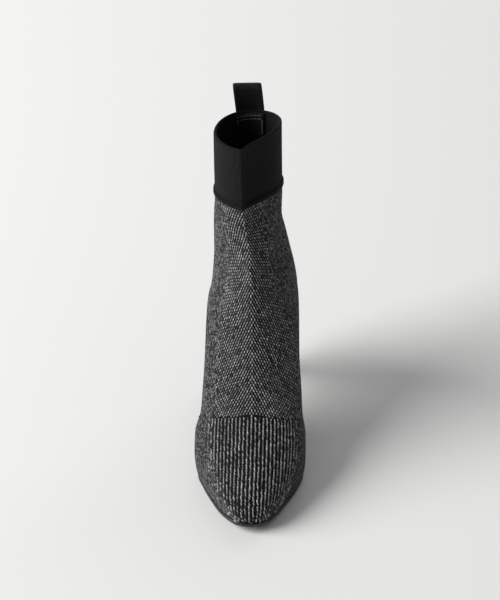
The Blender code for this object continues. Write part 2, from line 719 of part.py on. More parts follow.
def build_top_piece(form, parent):
    """The wearing tip under the heel, flat on the floor."""
    seat = heel_rings(form)[0]
    solid = Solid()
    rows = [solid.add(tip_ring(seat, height)) for height in (0.0, TOP_PIECE_THICKNESS)]
    solid.strip(rows[0], rows[1], closed=True)
    for row in rows:
        solid.face(row)
    return solid.build("heel_top_piece", "black_rubber", parent)


def stand_over_origin(stand, pieces):
    """Bring the middle of the boot's box over the origin, toe to -Y."""
    corners = np.array([vertex.co[:] for piece in pieces for vertex in piece.data.vertices])
    middle = (corners.min(axis=0) + corners.max(axis=0)) / 2
    stand.location = (-middle[0], -middle[1], 0.0)


def main():
    clear_scene()
    stand = bpy.data.objects.new("stand", None)
    bpy.context.scene.collection.objects.link(stand)
    form = Form()
    insole_low = KNIT_WALL + GAP
    pieces = [
        build_upper(form, stand),
        build_cuff(form, stand),
        build_pull_loop(form, stand),
        build_back_strip(form, stand),
        build_sheet(form, KNIT_WALL + INSOLE_CLEARANCE, insole_low,
                    insole_low + INSOLE_THICKNESS, "insole", "black_lining", stand),
        build_sheet(form, -SOLE_EDGE, -GAP - SOLE_THICKNESS, -GAP, "outsole",
                    "black_rubber", stand),
        build_heel(form, stand),
        build_top_piece(form, stand),
    ]
    stand_over_origin(stand, pieces)
    bpy.context.view_layer.update()


main()
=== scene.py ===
# %% [markdown]
# # A knitted sock boot on a slim heel
#
# This boot is a stocking knitted in one piece from black and light grey yarn,
# drawn over a last and closed underneath by a thin rubber sole. A folded black
# elastic ends it at the top, with a tape loop to pull it on. Everything soft is
# cut from one form, so the form's tables come first, and each piece is then a
# finely meshed skin of it. What repeats, the yarn floats, the ribs of the toe
# and the sewing, is placed by Geometry Nodes.

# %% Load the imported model
import math

import bmesh
import bpy
import numpy as np
from mathutils import Matrix, Vector


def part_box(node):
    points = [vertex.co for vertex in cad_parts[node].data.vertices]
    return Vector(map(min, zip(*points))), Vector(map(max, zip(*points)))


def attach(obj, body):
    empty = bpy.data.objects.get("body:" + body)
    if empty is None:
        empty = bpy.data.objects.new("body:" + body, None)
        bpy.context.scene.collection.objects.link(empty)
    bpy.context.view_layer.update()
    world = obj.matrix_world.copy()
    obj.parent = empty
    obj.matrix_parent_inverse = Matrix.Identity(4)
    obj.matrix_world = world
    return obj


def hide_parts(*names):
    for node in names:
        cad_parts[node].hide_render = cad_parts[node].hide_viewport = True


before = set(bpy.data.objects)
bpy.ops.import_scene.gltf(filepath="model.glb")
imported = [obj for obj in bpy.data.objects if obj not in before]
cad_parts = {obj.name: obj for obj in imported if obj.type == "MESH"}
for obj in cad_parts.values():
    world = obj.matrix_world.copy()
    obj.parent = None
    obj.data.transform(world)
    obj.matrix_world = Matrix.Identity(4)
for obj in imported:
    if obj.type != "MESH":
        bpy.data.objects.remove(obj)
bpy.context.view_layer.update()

# %% [markdown]
# ## The camera
#
# The picture was taken from the front and above with a long lens. A lens of 90 mm
# a little over a metre away gives the same narrow perspective. The camera first
# looks straight back and down, and then pans a few degrees about its own upright
# axis, which keeps the angle to the boot and brings the boot to the middle.

# %% Camera
def put_in_scene(name, data):
    made = bpy.data.objects.new(name, data)
    bpy.context.scene.collection.objects.link(made)
    return made


CAMERA_PLACE = (0.0525, -0.9502, 0.7023)
CAMERA_DOWN = math.radians(31.4)
CAMERA_PAN = math.radians(2.67)
LENS, SENSOR = 90, 36  # mm


def set_camera():
    data = bpy.data.cameras.new("camera")
    data.lens = LENS
    data.sensor_width = SENSOR
    camera = put_in_scene("camera", data)
    turn = Matrix.Rotation(math.pi / 2 - CAMERA_DOWN, 3, "X") @ Matrix.Rotation(CAMERA_PAN, 3, "Y")
    camera.location = CAMERA_PLACE
    camera.rotation_euler = turn.to_euler()
    bpy.context.scene.camera = camera
    print("camera lens", data.lens, "mm")


set_camera()

# %% [markdown]
# ## Floor and light
#
# The boot stands on a pale seamless floor. The main light is a large soft lamp at
# the left, about 30 degrees up, so the left half of the boot is lit, the right half
# lies in shade and a soft shadow falls to the right. A weak lamp behind the boot
# and a pale sky brighten the shadow.

# %% Floor
def plain_material(name, colour, roughness):
    made = bpy.data.materials.new(name)
    made.use_nodes = True
    shader = made.node_tree.nodes["Principled BSDF"]
    shader.inputs["Base Color"].default_value = (*colour, 1.0)
    shader.inputs["Roughness"].default_value = roughness
    return made


FLOOR_SIZE = 12.0
FLOOR_COLOUR = (0.80, 0.80, 0.785)


def lay_floor():
    mesh = bpy.data.meshes.new("floor")
    half = FLOOR_SIZE / 2
    corners = [(-half, -half, 0), (half, -half, 0), (half, half, 0), (-half, half, 0)]
    mesh.from_pydata(corners, [], [(0, 1, 2, 3)])
    mesh.materials.append(plain_material("floor_paper", FLOOR_COLOUR, 0.9))
    floor = put_in_scene("floor", mesh)


lay_floor()

# %% Lights
LAMP_AIM = Vector((0.0, 0.0, 0.08))
LAMPS = (
    # name, place, diameter, power
    ("main_lamp", (-3.7, -0.5, 2.2), 3.6, 302),
    ("back_lamp", (0.8, 3.3, 1.7), 4.4, 58),
)
SKY_COLOUR = (0.97, 0.98, 1.0, 1.0)
SKY_STRENGTH = 0.19


def set_lights():
    for name, place, size, power in LAMPS:
        data = bpy.data.lights.new(name, "AREA")
        data.shape = "DISK"
        data.size = size
        data.energy = power
        lamp = put_in_scene(name, data)
        lamp.location = place
        lamp.rotation_euler = (LAMP_AIM - Vector(place)).to_track_quat("-Z", "Y").to_euler()
    world = bpy.data.worlds.new("studio")
    world.use_nodes = True
    sky = world.node_tree.nodes["Background"]
    sky.inputs["Color"].default_value = SKY_COLOUR
    sky.inputs["Strength"].default_value = SKY_STRENGTH
    bpy.context.scene.world = world
    bpy.context.scene.view_settings.view_transform = "Standard"
    print("lamps:", len(bpy.data.lights))


set_lights()

# %% [markdown]
# ## The form of the boot
#
# A last maker works with sections. Here each section is a closed curve that fans
# from the toe over the instep to the collar, and the tables give its measures as
# shares of the boot's sizes. They are the same tables as in the solid model, so
# the skins lie where its solids are. y runs back from the toe tip in the tables.

# %% Sizes in metres
BOOT_LENGTH = 0.2320
BALL_WIDTH = 0.0842
HEEL_WIDTH = 0.0727
INSTEP_HEIGHT = 0.0700
HEEL_TO_INSTEP = 0.1200
HEEL_HEIGHT = 0.0610
TOE_SPRING = 0.0055
SHAFT_HEIGHT = 0.1620
COLLAR_DEPTH = 0.0805
COLLAR_WIDTH = 0.0506
BACK_BULGE = 0.0080
GAP = 0.0003
KNIT_WALL = 0.0020
LASTING_MARGIN = 0.0090
SOLE_THICKNESS = 0.0030
SOLE_EDGE = 0.0010
CUFF_HEIGHT = 0.0496
CUFF_PLY = 0.0012
HEM_HEIGHT = 0.0046
RIM_ROUNDING = 0.0006

# %% Side line of the sole, and sections of the foot and heel
SOLE_LINE = np.array((
    (0.000, 0.000), (0.350, 0.000), (0.405, 0.025), (0.460, 0.115), (0.540, 0.330),
    (0.640, 0.620), (0.750, 0.845), (0.857, 0.935), (1.000, 1.000),
))
SPRING_END = 0.220

FOOT_COLUMNS = ("along", "lean", "height", "lateral", "medial", "feather_lateral",
                "feather_medial", "ridge", "widest", "crown", "base")
FOOT_SECTIONS = (
    (0.0000, 0.0, 0.000, 0.026, 0.026, 0.026, 0.026, 0.026, 0.36, 2.20, 2.2),
    (0.0108, 0.0, 0.129, -0.089, 0.137, -0.077, 0.125, 0.026, 0.36, 2.20, 2.2),
    (0.0345, 0.0, 0.221, -0.160, 0.196, -0.143, 0.179, 0.027, 0.36, 2.10, 2.2),
    (0.0776, 0.0, 0.321, -0.248, 0.272, -0.226, 0.250, 0.028, 0.36, 1.98, 2.2),
    (0.1422, 0.0, 0.443, -0.338, 0.360, -0.312, 0.334, 0.030, 0.36, 1.88, 2.2),
    (0.2155, 0.0, 0.586, -0.428, 0.448, -0.398, 0.418, 0.030, 0.36, 1.78, 2.2),
    (0.2845, 2.0, 0.736, -0.490, 0.496, -0.457, 0.463, 0.030, 0.36, 1.62, 2.2),
    (0.3664, 8.0, 0.880, -0.497, 0.496, -0.445, 0.434, 0.030, 0.38, 1.45, 2.2),
    (0.4526, 18.0, 0.930, -0.455, 0.468, -0.374, 0.344, 0.029, 0.41, 1.32, 2.2),
    (0.5388, 26.0, 0.955, -0.439, 0.455, -0.324, 0.295, 0.028, 0.44, 1.24, 2.2),
)
HEEL_SECTIONS = (
    (0.6450, 34.0, 0.585, -0.494, 0.505, -0.360, 0.360, 0.027, 0.45, 1.20, 2.2),
    (0.7520, 42.0, 0.685, -0.490, 0.502, -0.375, 0.388, 0.019, 0.45, 1.18, 2.2),
    (0.8600, 49.0, 0.815, -0.488, 0.497, -0.368, 0.385, 0.015, 0.45, 1.17, 2.2),
    (0.9480, 53.2, 0.935, -0.474, 0.489, -0.262, 0.278, 0.012, 0.46, 1.17, 2.2),
    (1.0000, 55.2, 1.013, -0.457, 0.479, 0.008, 0.008, 0.011, 0.46, 1.17, 2.2),
)

# %% Sections of the shaft
SHAFT_COLUMNS = ("up", "back", "lean", "depth", "slim", "middle", "spine", "ridge",
                 "widest", "crown", "medial_widest", "medial_crown", "base")
SHAFT_SECTIONS = (
    (0.065, 0.31, 57.4, 1.467, 0.30, 0.020, 0.012, 0.010, 0.46, 1.18, 0.45, 1.14, 2.2),
    (0.157, 0.25, 60.2, 1.371, 0.43, 0.013, 0.012, 0.004, 0.46, 1.20, 0.44, 1.10, 2.2),
    (0.281, -0.19, 65.1, 1.219, 0.61, -0.007, 0.013, -0.004, 0.46, 1.22, 0.42, 1.04, 2.15),
    (0.404, -0.69, 69.8, 1.082, 0.77, -0.035, 0.015, -0.020, 0.46, 1.26, 0.40, 0.96, 2.1),
    (0.528, -0.88, 77.0, 0.995, 0.94, -0.060, 0.018, -0.051, 0.48, 1.30, 0.38, 0.86, 2.05),
    (0.682, -0.75, 86.0, 0.954, 0.97, -0.040, 0.022, -0.071, 0.50, 1.33, 0.35, 0.74, 2.0),
    (0.836, -0.44, 86.9, 0.960, 0.98, -0.038, 0.027, -0.077, 0.51, 1.35, 0.32, 0.66, 2.05),
    (1.000, -0.06, 87.5, 1.000, 1.00, -0.032, 0.032, -0.079, 0.52, 1.35, 0.29, 0.60, 2.1),
)


def columns(names, rows):
    return dict(zip(names, np.array(rows, float).T))


FOOT = columns(FOOT_COLUMNS, FOOT_SECTIONS)
HEEL = columns(FOOT_COLUMNS, HEEL_SECTIONS)
SHAFT = columns(SHAFT_COLUMNS, SHAFT_SECTIONS)
print("sections:", len(FOOT["along"]), len(HEEL["along"]), len(SHAFT["up"]))

# %% [markdown]
# Between the rows of a table a curve has to run smoothly and never overshoot, or
# the leather would bulge where no row asks for it. A cubic with limited slopes at
# the rows does that.

# %% A smooth curve through a table
def end_tangent(step, next_step, slope, next_slope):
    tangent = ((2 * step + next_step) * slope - step * next_slope) / (step + next_step)
    if tangent * slope <= 0:
        return 0.0
    return math.copysign(min(abs(tangent), 3 * abs(slope)), slope)


def smooth(knots, values, where):
    knots = np.asarray(knots, float)
    values = np.asarray(values, float)
    step = np.diff(knots)
    slope = np.diff(values) / step
    tangent = np.zeros(len(knots))
    for i in range(1, len(knots) - 1):
        if slope[i - 1] * slope[i] > 0:
            before = 2 * step[i] + step[i - 1]
            after = step[i] + 2 * step[i - 1]
            tangent[i] = (before + after) / (before / slope[i - 1] + after / slope[i])
    tangent[0] = end_tangent(step[0], step[1], slope[0], slope[1])
    tangent[-1] = end_tangent(step[-1], step[-2], slope[-1], slope[-2])
    where = np.clip(where, knots[0], knots[-1])
    i = np.clip(np.searchsorted(knots, where, side="right") - 1, 0, len(step) - 1)
    t = (where - knots[i]) / step[i]
    start = (1 + 2 * t) * (1 - t) ** 2 * values[i] + t * (1 - t) ** 2 * step[i] * tangent[i]
    end = t * t * (3 - 2 * t) * values[i + 1] - t * t * (1 - t) * step[i] * tangent[i + 1]
    return start + end


# %% Height of the sole's upper edge
DIFFERENCE = 1e-4


def seat_height(y):
    along = np.asarray(y, float) / BOOT_LENGTH
    rise = smooth(SOLE_LINE[:, 0], SOLE_LINE[:, 1], along)
    spring = np.clip(1 - along / SPRING_END, 0, None) ** 2
    return SOLE_THICKNESS + GAP + HEEL_HEIGHT * rise + TOE_SPRING * spring


def slope_stretch(y):
    reach = BOOT_LENGTH * DIFFERENCE
    slope = (seat_height(y + reach) - seat_height(y - reach)) / (2 * reach)
    return np.sqrt(1 + slope ** 2)


print("heel seat height:", round(float(seat_height(BOOT_LENGTH)) * 1000, 1), "mm")

# %% Measures of all the sections, row by row
def run_along(points):
    """Distance of each point from the first, along the row of points."""
    steps = np.linalg.norm(np.diff(points, axis=0), axis=1)
    return np.concatenate([[0.0], np.cumsum(steps)])


SOLE_ROWS = len(FOOT["along"]) + len(HEEL["along"])


def over_all(name, shaft_values):
    return np.concatenate([FOOT[name] * BALL_WIDTH, HEEL[name] * HEEL_WIDTH, shaft_values])


LOW_Y = np.concatenate([FOOT["along"] * BOOT_LENGTH, HEEL["along"] * BOOT_LENGTH,
                        BOOT_LENGTH + SHAFT["back"] * BACK_BULGE])
LOW_Z = seat_height(LOW_Y)
LOW_Z[SOLE_ROWS:] = LOW_Z[SOLE_ROWS - 1] + SHAFT["up"] * SHAFT_HEIGHT
HEIGHT = np.concatenate([FOOT["height"] * INSTEP_HEIGHT, HEEL["height"] * HEEL_TO_INSTEP,
                         SHAFT["depth"] * COLLAR_DEPTH])
LEAN = np.radians(np.concatenate([FOOT["lean"], HEEL["lean"], SHAFT["lean"]]))
HALF = (HEEL_WIDTH + (COLLAR_WIDTH - HEEL_WIDTH) * SHAFT["slim"]) / 2
MIDDLE = SHAFT["middle"] * COLLAR_WIDTH
JOINT = {
    "top_y": LOW_Y - HEIGHT * np.sin(LEAN),
    "top_z": LOW_Z + HEIGHT * np.cos(LEAN),
    "lateral": over_all("lateral", MIDDLE - HALF),
    "medial": over_all("medial", MIDDLE + HALF),
    "ridge": over_all("ridge", SHAFT["ridge"] * COLLAR_WIDTH),
}
for name in ("widest", "crown", "base"):
    JOINT[name] = np.concatenate([FOOT[name], HEEL[name], SHAFT[name]])
for name in ("widest", "crown"):
    JOINT["medial_" + name] = np.concatenate([FOOT[name], HEEL[name], SHAFT["medial_" + name]])
SHAPE_MEASURES = ("ridge", "widest", "crown", "medial_widest", "medial_crown", "base")
FEATHER = {side: over_all("feather_" + side, SHAFT["spine"] * COLLAR_WIDTH)
           for side in ("lateral", "medial")}
KNOTS = run_along(np.column_stack([LOW_Y, LOW_Z, JOINT["top_y"], JOINT["top_z"],
                                   JOINT["lateral"], JOINT["medial"]]))
HEEL_BACK = KNOTS[SOLE_ROWS - 1]
RIM = KNOTS[-1]
REACH = DIFFERENCE * RIM
print("run of the form:", round(RIM, 3), "back of the seat at", round(HEEL_BACK, 3))

# %% Curves along the form
SAMPLES = 400


def curve(name, run):
    return smooth(KNOTS, JOINT[name], run)


def low_curve(values, run):
    on_sole = smooth(KNOTS[:SOLE_ROWS], values[:SOLE_ROWS], run)
    on_back = smooth(KNOTS[SOLE_ROWS - 1:], values[SOLE_ROWS - 1:], run)
    return np.where(run <= HEEL_BACK, on_sole, on_back)


def at_back(below_rim):
    runs = np.linspace(HEEL_BACK, RIM, SAMPLES)
    heights = low_curve(LOW_Z, runs)
    return float(np.interp(heights[-1] - below_rim, heights, runs))


# %% Outline of the sole, set in by a distance
CAP_TURN = (0.45, 0.75)


def outline(run, inset=0.0):
    """Place along the boot and both edges at some runs of the sole."""
    places = (run, np.clip(run - REACH, 0, HEEL_BACK), np.clip(run + REACH, 0, HEEL_BACK))
    low_y, behind, ahead = (low_curve(LOW_Y, place) for place in places)
    lateral, lateral_behind, lateral_ahead = (low_curve(FEATHER["lateral"], place)
                                              for place in places)
    medial, medial_behind, medial_ahead = (low_curve(FEATHER["medial"], place)
                                           for place in places)
    grows = (medial_ahead - lateral_ahead - (medial_behind - lateral_behind)) / 2
    length = np.hypot(grows, ahead - behind)
    inward_y = grows / length
    turned = np.clip((np.abs(inward_y) - CAP_TURN[0]) / (CAP_TURN[1] - CAP_TURN[0]), 0, 1)
    back = inward_y * turned ** 2 * (3 - 2 * turned)
    inward_x = np.maximum((ahead - behind) / length, DIFFERENCE)
    aside = inset * (1 - inward_y * back) / inward_x
    aside = np.where(np.abs(inward_y) > 1 - DIFFERENCE, 0.0, aside)
    return low_y + inset * back, lateral + aside, medial - aside


# %% Measures of sections at any place of the run
def side_rate(before, after):
    ends = []
    for run in (before, after):
        widest = curve("widest", run)
        low_y = low_curve(LOW_Y, run)
        low_z = low_curve(LOW_Z, run)
        ends.append((low_y + widest * (curve("top_y", run) - low_y),
                     low_z + widest * (curve("top_z", run) - low_z)))
    return ends[1][0] - ends[0][0], ends[1][1] - ends[0][1]


def sections(run, inset=0.0):
    run = np.atleast_1d(np.asarray(run, float))
    before = np.clip(run - REACH, 0, RIM)
    after = np.clip(run + REACH, 0, RIM)
    made = {name: curve(name, run) for name in SHAPE_MEASURES}
    rate = {name: curve(name, after) - curve(name, before)
            for name in ("top_y", "top_z", "lateral", "medial")}
    top = np.hypot(rate["top_y"], rate["top_z"])
    made["top_y"] = curve("top_y", run) + inset * rate["top_z"] / top
    made["top_z"] = curve("top_z", run) - inset * rate["top_y"] / top
    on_sole = run <= HEEL_BACK
    back_before = np.clip(before, HEEL_BACK, RIM)
    back_after = np.clip(after, HEEL_BACK + REACH, RIM)
    rise_y = low_curve(LOW_Y, back_after) - low_curve(LOW_Y, back_before)
    rise_z = low_curve(LOW_Z, back_after) - low_curve(LOW_Z, back_before)
    rise = np.hypot(rise_y, rise_z)
    sole_y, sole_lateral, sole_medial = outline(np.minimum(run, HEEL_BACK), inset)
    made["low_y"] = np.where(on_sole, sole_y, low_curve(LOW_Y, run) - inset * rise_z / rise)
    lifted = seat_height(sole_y) + inset * slope_stretch(sole_y)
    made["low_z"] = np.where(on_sole, lifted, low_curve(LOW_Z, run) + inset * rise_y / rise)
    for side, edge in (("lateral", sole_lateral), ("medial", sole_medial)):
        made["feather_" + side] = np.where(on_sole, edge, low_curve(FEATHER[side], run))
    travel = np.hypot(*side_rate(before, after))
    share = travel / np.hypot(travel, (rate["medial"] - rate["lateral"]) / 2)
    made["lateral"] = curve("lateral", run) + inset * share
    made["medial"] = curve("medial", run) - inset * share
    return made


# %% [markdown]
# Around a section the points go from the outer side's sole edge, over the ridge
# at the front, to the inner side's sole edge. The lower part of each side bulges
# like the side of a foot, and the upper part closes to the ridge, which the
# crown's power makes round or sharp.

# %% Points around one section
LOWER_STEPS = 22
UPPER_STEPS = 34
AROUND = 2 * (LOWER_STEPS + UPPER_STEPS)


def ring(made, i):
    lower = np.arange(LOWER_STEPS + 1) / LOWER_STEPS
    upper = np.arange(1, UPPER_STEPS + 1) / UPPER_STEPS * math.pi / 2
    ridge, base = made["ridge"][i], made["base"][i]
    middle = (made["feather_lateral"][i] + made["feather_medial"][i]) / 2
    sides = []
    for side, prefix in (("lateral", ""), ("medial", "medial_")):
        widest = made[prefix + "widest"][i]
        crown = made[prefix + "crown"][i]
        wide = made[side][i]
        feather = made["feather_" + side][i]
        spread = abs(wide - middle)
        closed = 1 - abs(feather - middle) / spread if spread > 0 else 1.0
        share = (1 - closed) * lower + closed * (1 - np.cos(lower * math.pi / 2))
        low_x = feather + (wide - feather) * (1 - (1 - share) ** base) ** (1 / base)
        top_x = ridge + (wide - ridge) * np.clip(np.cos(upper), 0, 1) ** (2 / crown)
        h = np.concatenate([widest * share, widest + (1 - widest) * np.sin(upper)])
        y = made["low_y"][i] + h * (made["top_y"][i] - made["low_y"][i])
        z = made["low_z"][i] + h * (made["top_z"][i] - made["low_z"][i])
        sides.append(np.column_stack([np.concatenate([low_x, top_x]), y, z]))
    return np.vstack([sides[0], sides[1][-2::-1]])


# %% The front crease is cloth, so it is rounded
CREASE_POINTS = 9
CREASE_ROUNDS = 14
CREASE_PULL = 0.6


def soft_crease(points):
    middle = AROUND // 2
    near = slice(middle - CREASE_POINTS, middle + CREASE_POINTS + 1)
    for _ in range(CREASE_ROUNDS):
        mean = (points[:-2] + points[2:]) / 2
        smoothed = points.copy()
        smoothed[1:-1] = points[1:-1] + (mean - points[1:-1]) * CREASE_PULL
        points[near] = smoothed[near]
    return points


# %% Rings of the form in the model's place
def rings(runs, inset=0.0):
    made = sections(runs, inset)
    return np.array([soft_crease(ring(made, i)) for i in range(len(runs))])


low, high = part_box("upper")
STAND = np.array([low.x - rings(np.linspace(0, RIM, SAMPLES))[:, :, 0].min(), low.y, 0.0])
print("the form's toe tip stands at", STAND.round(5))

# %% [markdown]
# ## Skins
#
# Every skin below is a grid of points. One helper turns grids into one mesh, with
# a second map of the surface in metres: u runs around the boot from the line over
# the instep, and v along the boot from the toe. The knit's material and its
# stitches are both laid out in this map, as a knitter counts wales and courses.

# %% A mesh from rows of points
class Skin:
    def __init__(self):
        self.points = []
        self.maps = []
        self.faces = []

    def rows(self, grid, across=None, along=None):
        grid = np.asarray(grid, float)
        first = len(self.points)
        count = grid.shape[0] * grid.shape[1]
        self.points.extend((grid.reshape(-1, 3) + STAND).tolist())
        if across is None:
            self.maps.extend([(0.0, 0.0)] * count)
        else:
            self.maps.extend(zip(np.ravel(across).tolist(), np.ravel(along).tolist()))
        return np.arange(first, first + count).reshape(grid.shape[:2])

    def face(self, corners):
        self.faces.append(tuple(int(corner) for corner in corners))

    def band(self, one, other, closed=False):
        count = len(one)
        for k in range(count if closed else count - 1):
            after = (k + 1) % count
            self.face((one[k], one[after], other[after], other[k]))

    def bands(self, rows, closed=False):
        for one, other in zip(rows[:-1], rows[1:]):
            self.band(one, other, closed)

    def piece(self, name, material, merge=1e-6):
        mesh = bpy.data.meshes.new(name)
        mesh.from_pydata(self.points, [], self.faces)
        uv = mesh.uv_layers.new(name="cloth")
        corners = np.zeros(len(mesh.loops), dtype=np.int32)
        mesh.loops.foreach_get("vertex_index", corners)
        uv.data.foreach_set("uv", np.array(self.maps, float)[corners].ravel())
        work = bmesh.new()
        work.from_mesh(mesh)
        bmesh.ops.remove_doubles(work, verts=work.verts, dist=merge)
        bmesh.ops.dissolve_degenerate(work, edges=work.edges, dist=merge)
        bmesh.ops.recalc_face_normals(work, faces=work.faces)
        work.to_mesh(mesh)
        work.free()
        mesh.shade_smooth()
        mesh.materials.append(material)
        made = put_in_scene(name, mesh)
        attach(made, "root")
        print(name, len(mesh.polygons), "faces")
        return made


# %% The surface of the form, measured in metres of cloth
def girth(grid):
    """Distance around each ring from its ridge, negative on the outer side."""
    run = np.array([run_along(points) for points in grid])
    return run - run[:, AROUND // 2][:, None]


KNIT_TOP = at_back(CUFF_HEIGHT - HEM_HEIGHT + 2 * GAP)
TIP_RUN = 0.03  # up to here the rings lie closer
TIP_RINGS, SOLE_RINGS, BACK_RINGS = 14, 110, 70
SOLE_RUNS = np.concatenate([np.linspace(0, TIP_RUN, TIP_RINGS)[:-1],
                            np.linspace(TIP_RUN, HEEL_BACK, SOLE_RINGS)])
KNIT_RUNS = np.concatenate([SOLE_RUNS, np.linspace(HEEL_BACK, KNIT_TOP, BACK_RINGS)[1:]])
BODY = rings(KNIT_RUNS)
ACROSS = girth(BODY)
ALONG = run_along(BODY[:, AROUND // 2])
print("knit:", round(ALONG[-1] * 1000), "mm along the front,",
      round((ACROSS[-1, -1] - ACROSS[-1, 0]) * 1000), "mm around the cuff's hem")

# %% A place on the knit, from its two measures
def on_knit(across, along):
    """The form's point at u = across and v = along, in metres of cloth."""
    i = int(np.clip(np.searchsorted(ALONG, along) - 1, 0, len(ALONG) - 2))
    share = (along - ALONG[i]) / (ALONG[i + 1] - ALONG[i])
    row = BODY[i] * (1 - share) + BODY[i + 1] * share
    around = ACROSS[i] * (1 - share) + ACROSS[i + 1] * share
    return np.array([np.interp(across, around, row[:, k]) for k in range(3)])


def knit_frame(across, along, reach=0.0009, least=1e-9):
    """A place on the knit, with its upward and outward directions."""
    place = on_knit(across, along)
    up = on_knit(across, along + reach) - on_knit(across, along - reach)
    side = on_knit(across + reach, along) - on_knit(across - reach, along)
    up /= np.linalg.norm(up)
    out = np.cross(side, up)
    out /= max(np.linalg.norm(out), least)
    centre = BODY[min(int(np.searchsorted(ALONG, along)), len(BODY) - 1)].mean(axis=0)
    return place, up, -out if (place - centre).dot(out) < 0 else out


# %% [markdown]
# ## Yarn
#
# The marl of this boot is black yarn with light grey yarn, twisted or knitted in
# side by side. On the front the light yarn floats over two wales at a time, so it
# shows as leaning dashes in offset rows that mirror about the line over the
# instep. At the toe the floats stack to lengthwise ribs. At the sides both yarns
# mix to a fine speckle.
#
# The speckle is a material: a grid of small stitches in the cloth's map, each with
# its own lightness. The floats are real yarns, placed by Geometry Nodes.

# %% A material, and short ways to add nodes to it
class Look:
    def __init__(self, name, bump, depth, finish):
        self.material = bpy.data.materials.new(name)
        self.material.use_nodes = True
        self.nodes = self.material.node_tree.nodes
        self.shader = self.nodes["Principled BSDF"]
        self.relief = self.add("ShaderNodeBump", {"Strength": bump, "Distance": depth})
        self.fill(self.shader, {**finish, "Normal": self.relief.outputs["Normal"]})

    def fill(self, node, inputs):
        """Give each input its value, or link another node's output to it."""
        for key, value in inputs.items():
            if isinstance(value, bpy.types.NodeSocket):
                self.material.node_tree.links.new(value, node.inputs[key])
            else:
                node.inputs[key].default_value = value

    def add(self, kind, inputs):
        node = self.nodes.new(kind)
        self.fill(node, inputs)
        return node

    def cloth(self):
        """The two measures of the cloth's map."""
        node = self.nodes.new("ShaderNodeUVMap")
        node.uv_map = "cloth"
        split = self.add("ShaderNodeSeparateXYZ", {0: node.outputs["UV"]})
        return split.outputs["X"], split.outputs["Y"]

    def stored(self, name):
        node = self.nodes.new("ShaderNodeAttribute")
        node.attribute_name = name
        return node.outputs["Fac"]

    def noise(self, scale, detail=2.0):
        place = self.nodes.new("ShaderNodeTexCoord").outputs["Object"]
        node = self.add("ShaderNodeTexNoise", {"Vector": place, "Scale": scale, "Detail": detail})
        return node.outputs["Fac"]

    def maths(self, operation, *values):
        node = self.nodes.new("ShaderNodeMath")
        node.operation = operation
        self.fill(node, dict(enumerate(values)))
        return node.outputs[0]

    def wave(self, measure, length):
        return self.maths("SINE", self.maths("MULTIPLY", measure, 2 * math.pi / length))

    def ramp(self, factor, stops):
        node = self.add("ShaderNodeValToRGB", {"Fac": factor})
        elements = node.color_ramp.elements
        while len(elements) < len(stops):
            elements.new(0.5)
        for element, (place, colour) in zip(elements, stops):
            element.position = place
            element.color = (*colour, 1.0)
        return node.outputs["Color"]

    def mix(self, blend, factor, one, other):
        node = self.nodes.new("ShaderNodeMix")
        node.data_type = "RGBA"
        node.blend_type = blend
        self.fill(node, {"Factor": factor, "A": one, "B": other})
        return node.outputs["Result"]

    def paint(self, colour, height):
        self.fill(self.shader, {"Base Color": colour})
        self.fill(self.relief, {"Height": height})
        return self.material


# %% Knit material: speckled stitches with painted shade in their hollows, black under the floats
WALE = 0.00108
COURSE = 0.00090
STITCH_SLANT = 1.3  # rise of a stitch's legs, in courses for each wale
# Painted shade: each stitch's colour darkens in its hollows, following its relief
STITCH_PAINTED_SHADE = (0.75, 0.30)  # share of the relief in the shade, and the least shade
BLACK_YARN = (0.0040, 0.0040, 0.0042)
GREY_YARN = (0.040, 0.040, 0.0415)
LIGHT_YARN = (0.382, 0.378, 0.394)
FLOAT_YARN = (0.470, 0.466, 0.486)
SPECKLE = ((0.0, BLACK_YARN), (0.48, GREY_YARN), (1.0, LIGHT_YARN))


def knit_material():
    look = Look("marl_knit", 0.9, 0.0006,
                {"Roughness": 0.92, "Specular IOR Level": 0.15, "Sheen Weight": 0.06})
    u, v = look.cloth()
    wale = look.maths("DIVIDE", u, WALE)
    course = look.maths("DIVIDE", v, COURSE)
    across = look.maths("FRACT", wale)
    off = look.maths("ABSOLUTE", look.maths("SUBTRACT", across, 0.5))
    raised = look.maths("ADD", course, look.maths("MULTIPLY", off, STITCH_SLANT))
    cell = look.add("ShaderNodeCombineXYZ", {"X": look.maths("FLOOR", wale),
                                             "Y": look.maths("FLOOR", raised)})
    chance = look.add("ShaderNodeTexWhiteNoise", {"Vector": cell.outputs[0]})
    speckle = look.ramp(chance.outputs["Value"], SPECKLE)
    legs = look.maths("ABSOLUTE", look.wave(across, 1.0))
    relief = look.maths("MULTIPLY", legs, look.wave(look.maths("FRACT", raised), 2.0))
    # painted shade, darker where the stitch's relief is low
    shade = look.maths("MULTIPLY_ADD", relief, *STITCH_PAINTED_SHADE)
    lit = look.mix("MULTIPLY", 1.0, speckle, shade)
    return look.paint(look.mix("MIX", look.stored("under_floats"), lit, (*BLACK_YARN, 1.0)),
                      relief)


KNIT = knit_material()

# %% [markdown]
# ### Where the floats lie
#
# The front panel is narrow under the cuff and widens down the instep. In front of
# the line over the ball it ends, and the ribs of the toe begin. Both fade into the
# speckle at their sides.

# %% Fields of the knit
VAMP_LINE = np.array((
    # distance from the ridge, place along the front
    (0.000, 0.0818),
    (0.018, 0.0845),
    (0.030, 0.0893),
    (0.048, 0.0993),
))
PANEL_EDGE = np.array((
    # along the front, outer side, inner side
    (0.082, 0.036, 0.046),
    (0.120, 0.034, 0.046),
    (0.150, 0.032, 0.044),
    (0.165, 0.030, 0.034),
    (0.180, 0.027, 0.024),
    (0.215, 0.022, 0.021),
    (0.260, 0.020, 0.020),
))
TOE_EDGE = np.array((
    (0.000, 0.012, 0.013),
    (0.015, 0.020, 0.024),
    (0.035, 0.027, 0.035),
    (0.065, 0.035, 0.039),
    (0.100, 0.037, 0.040),
))
FIELD_FADE = 0.011
BLACK_FROM = 6 / 11  # cover from which the cloth under the floats darkens


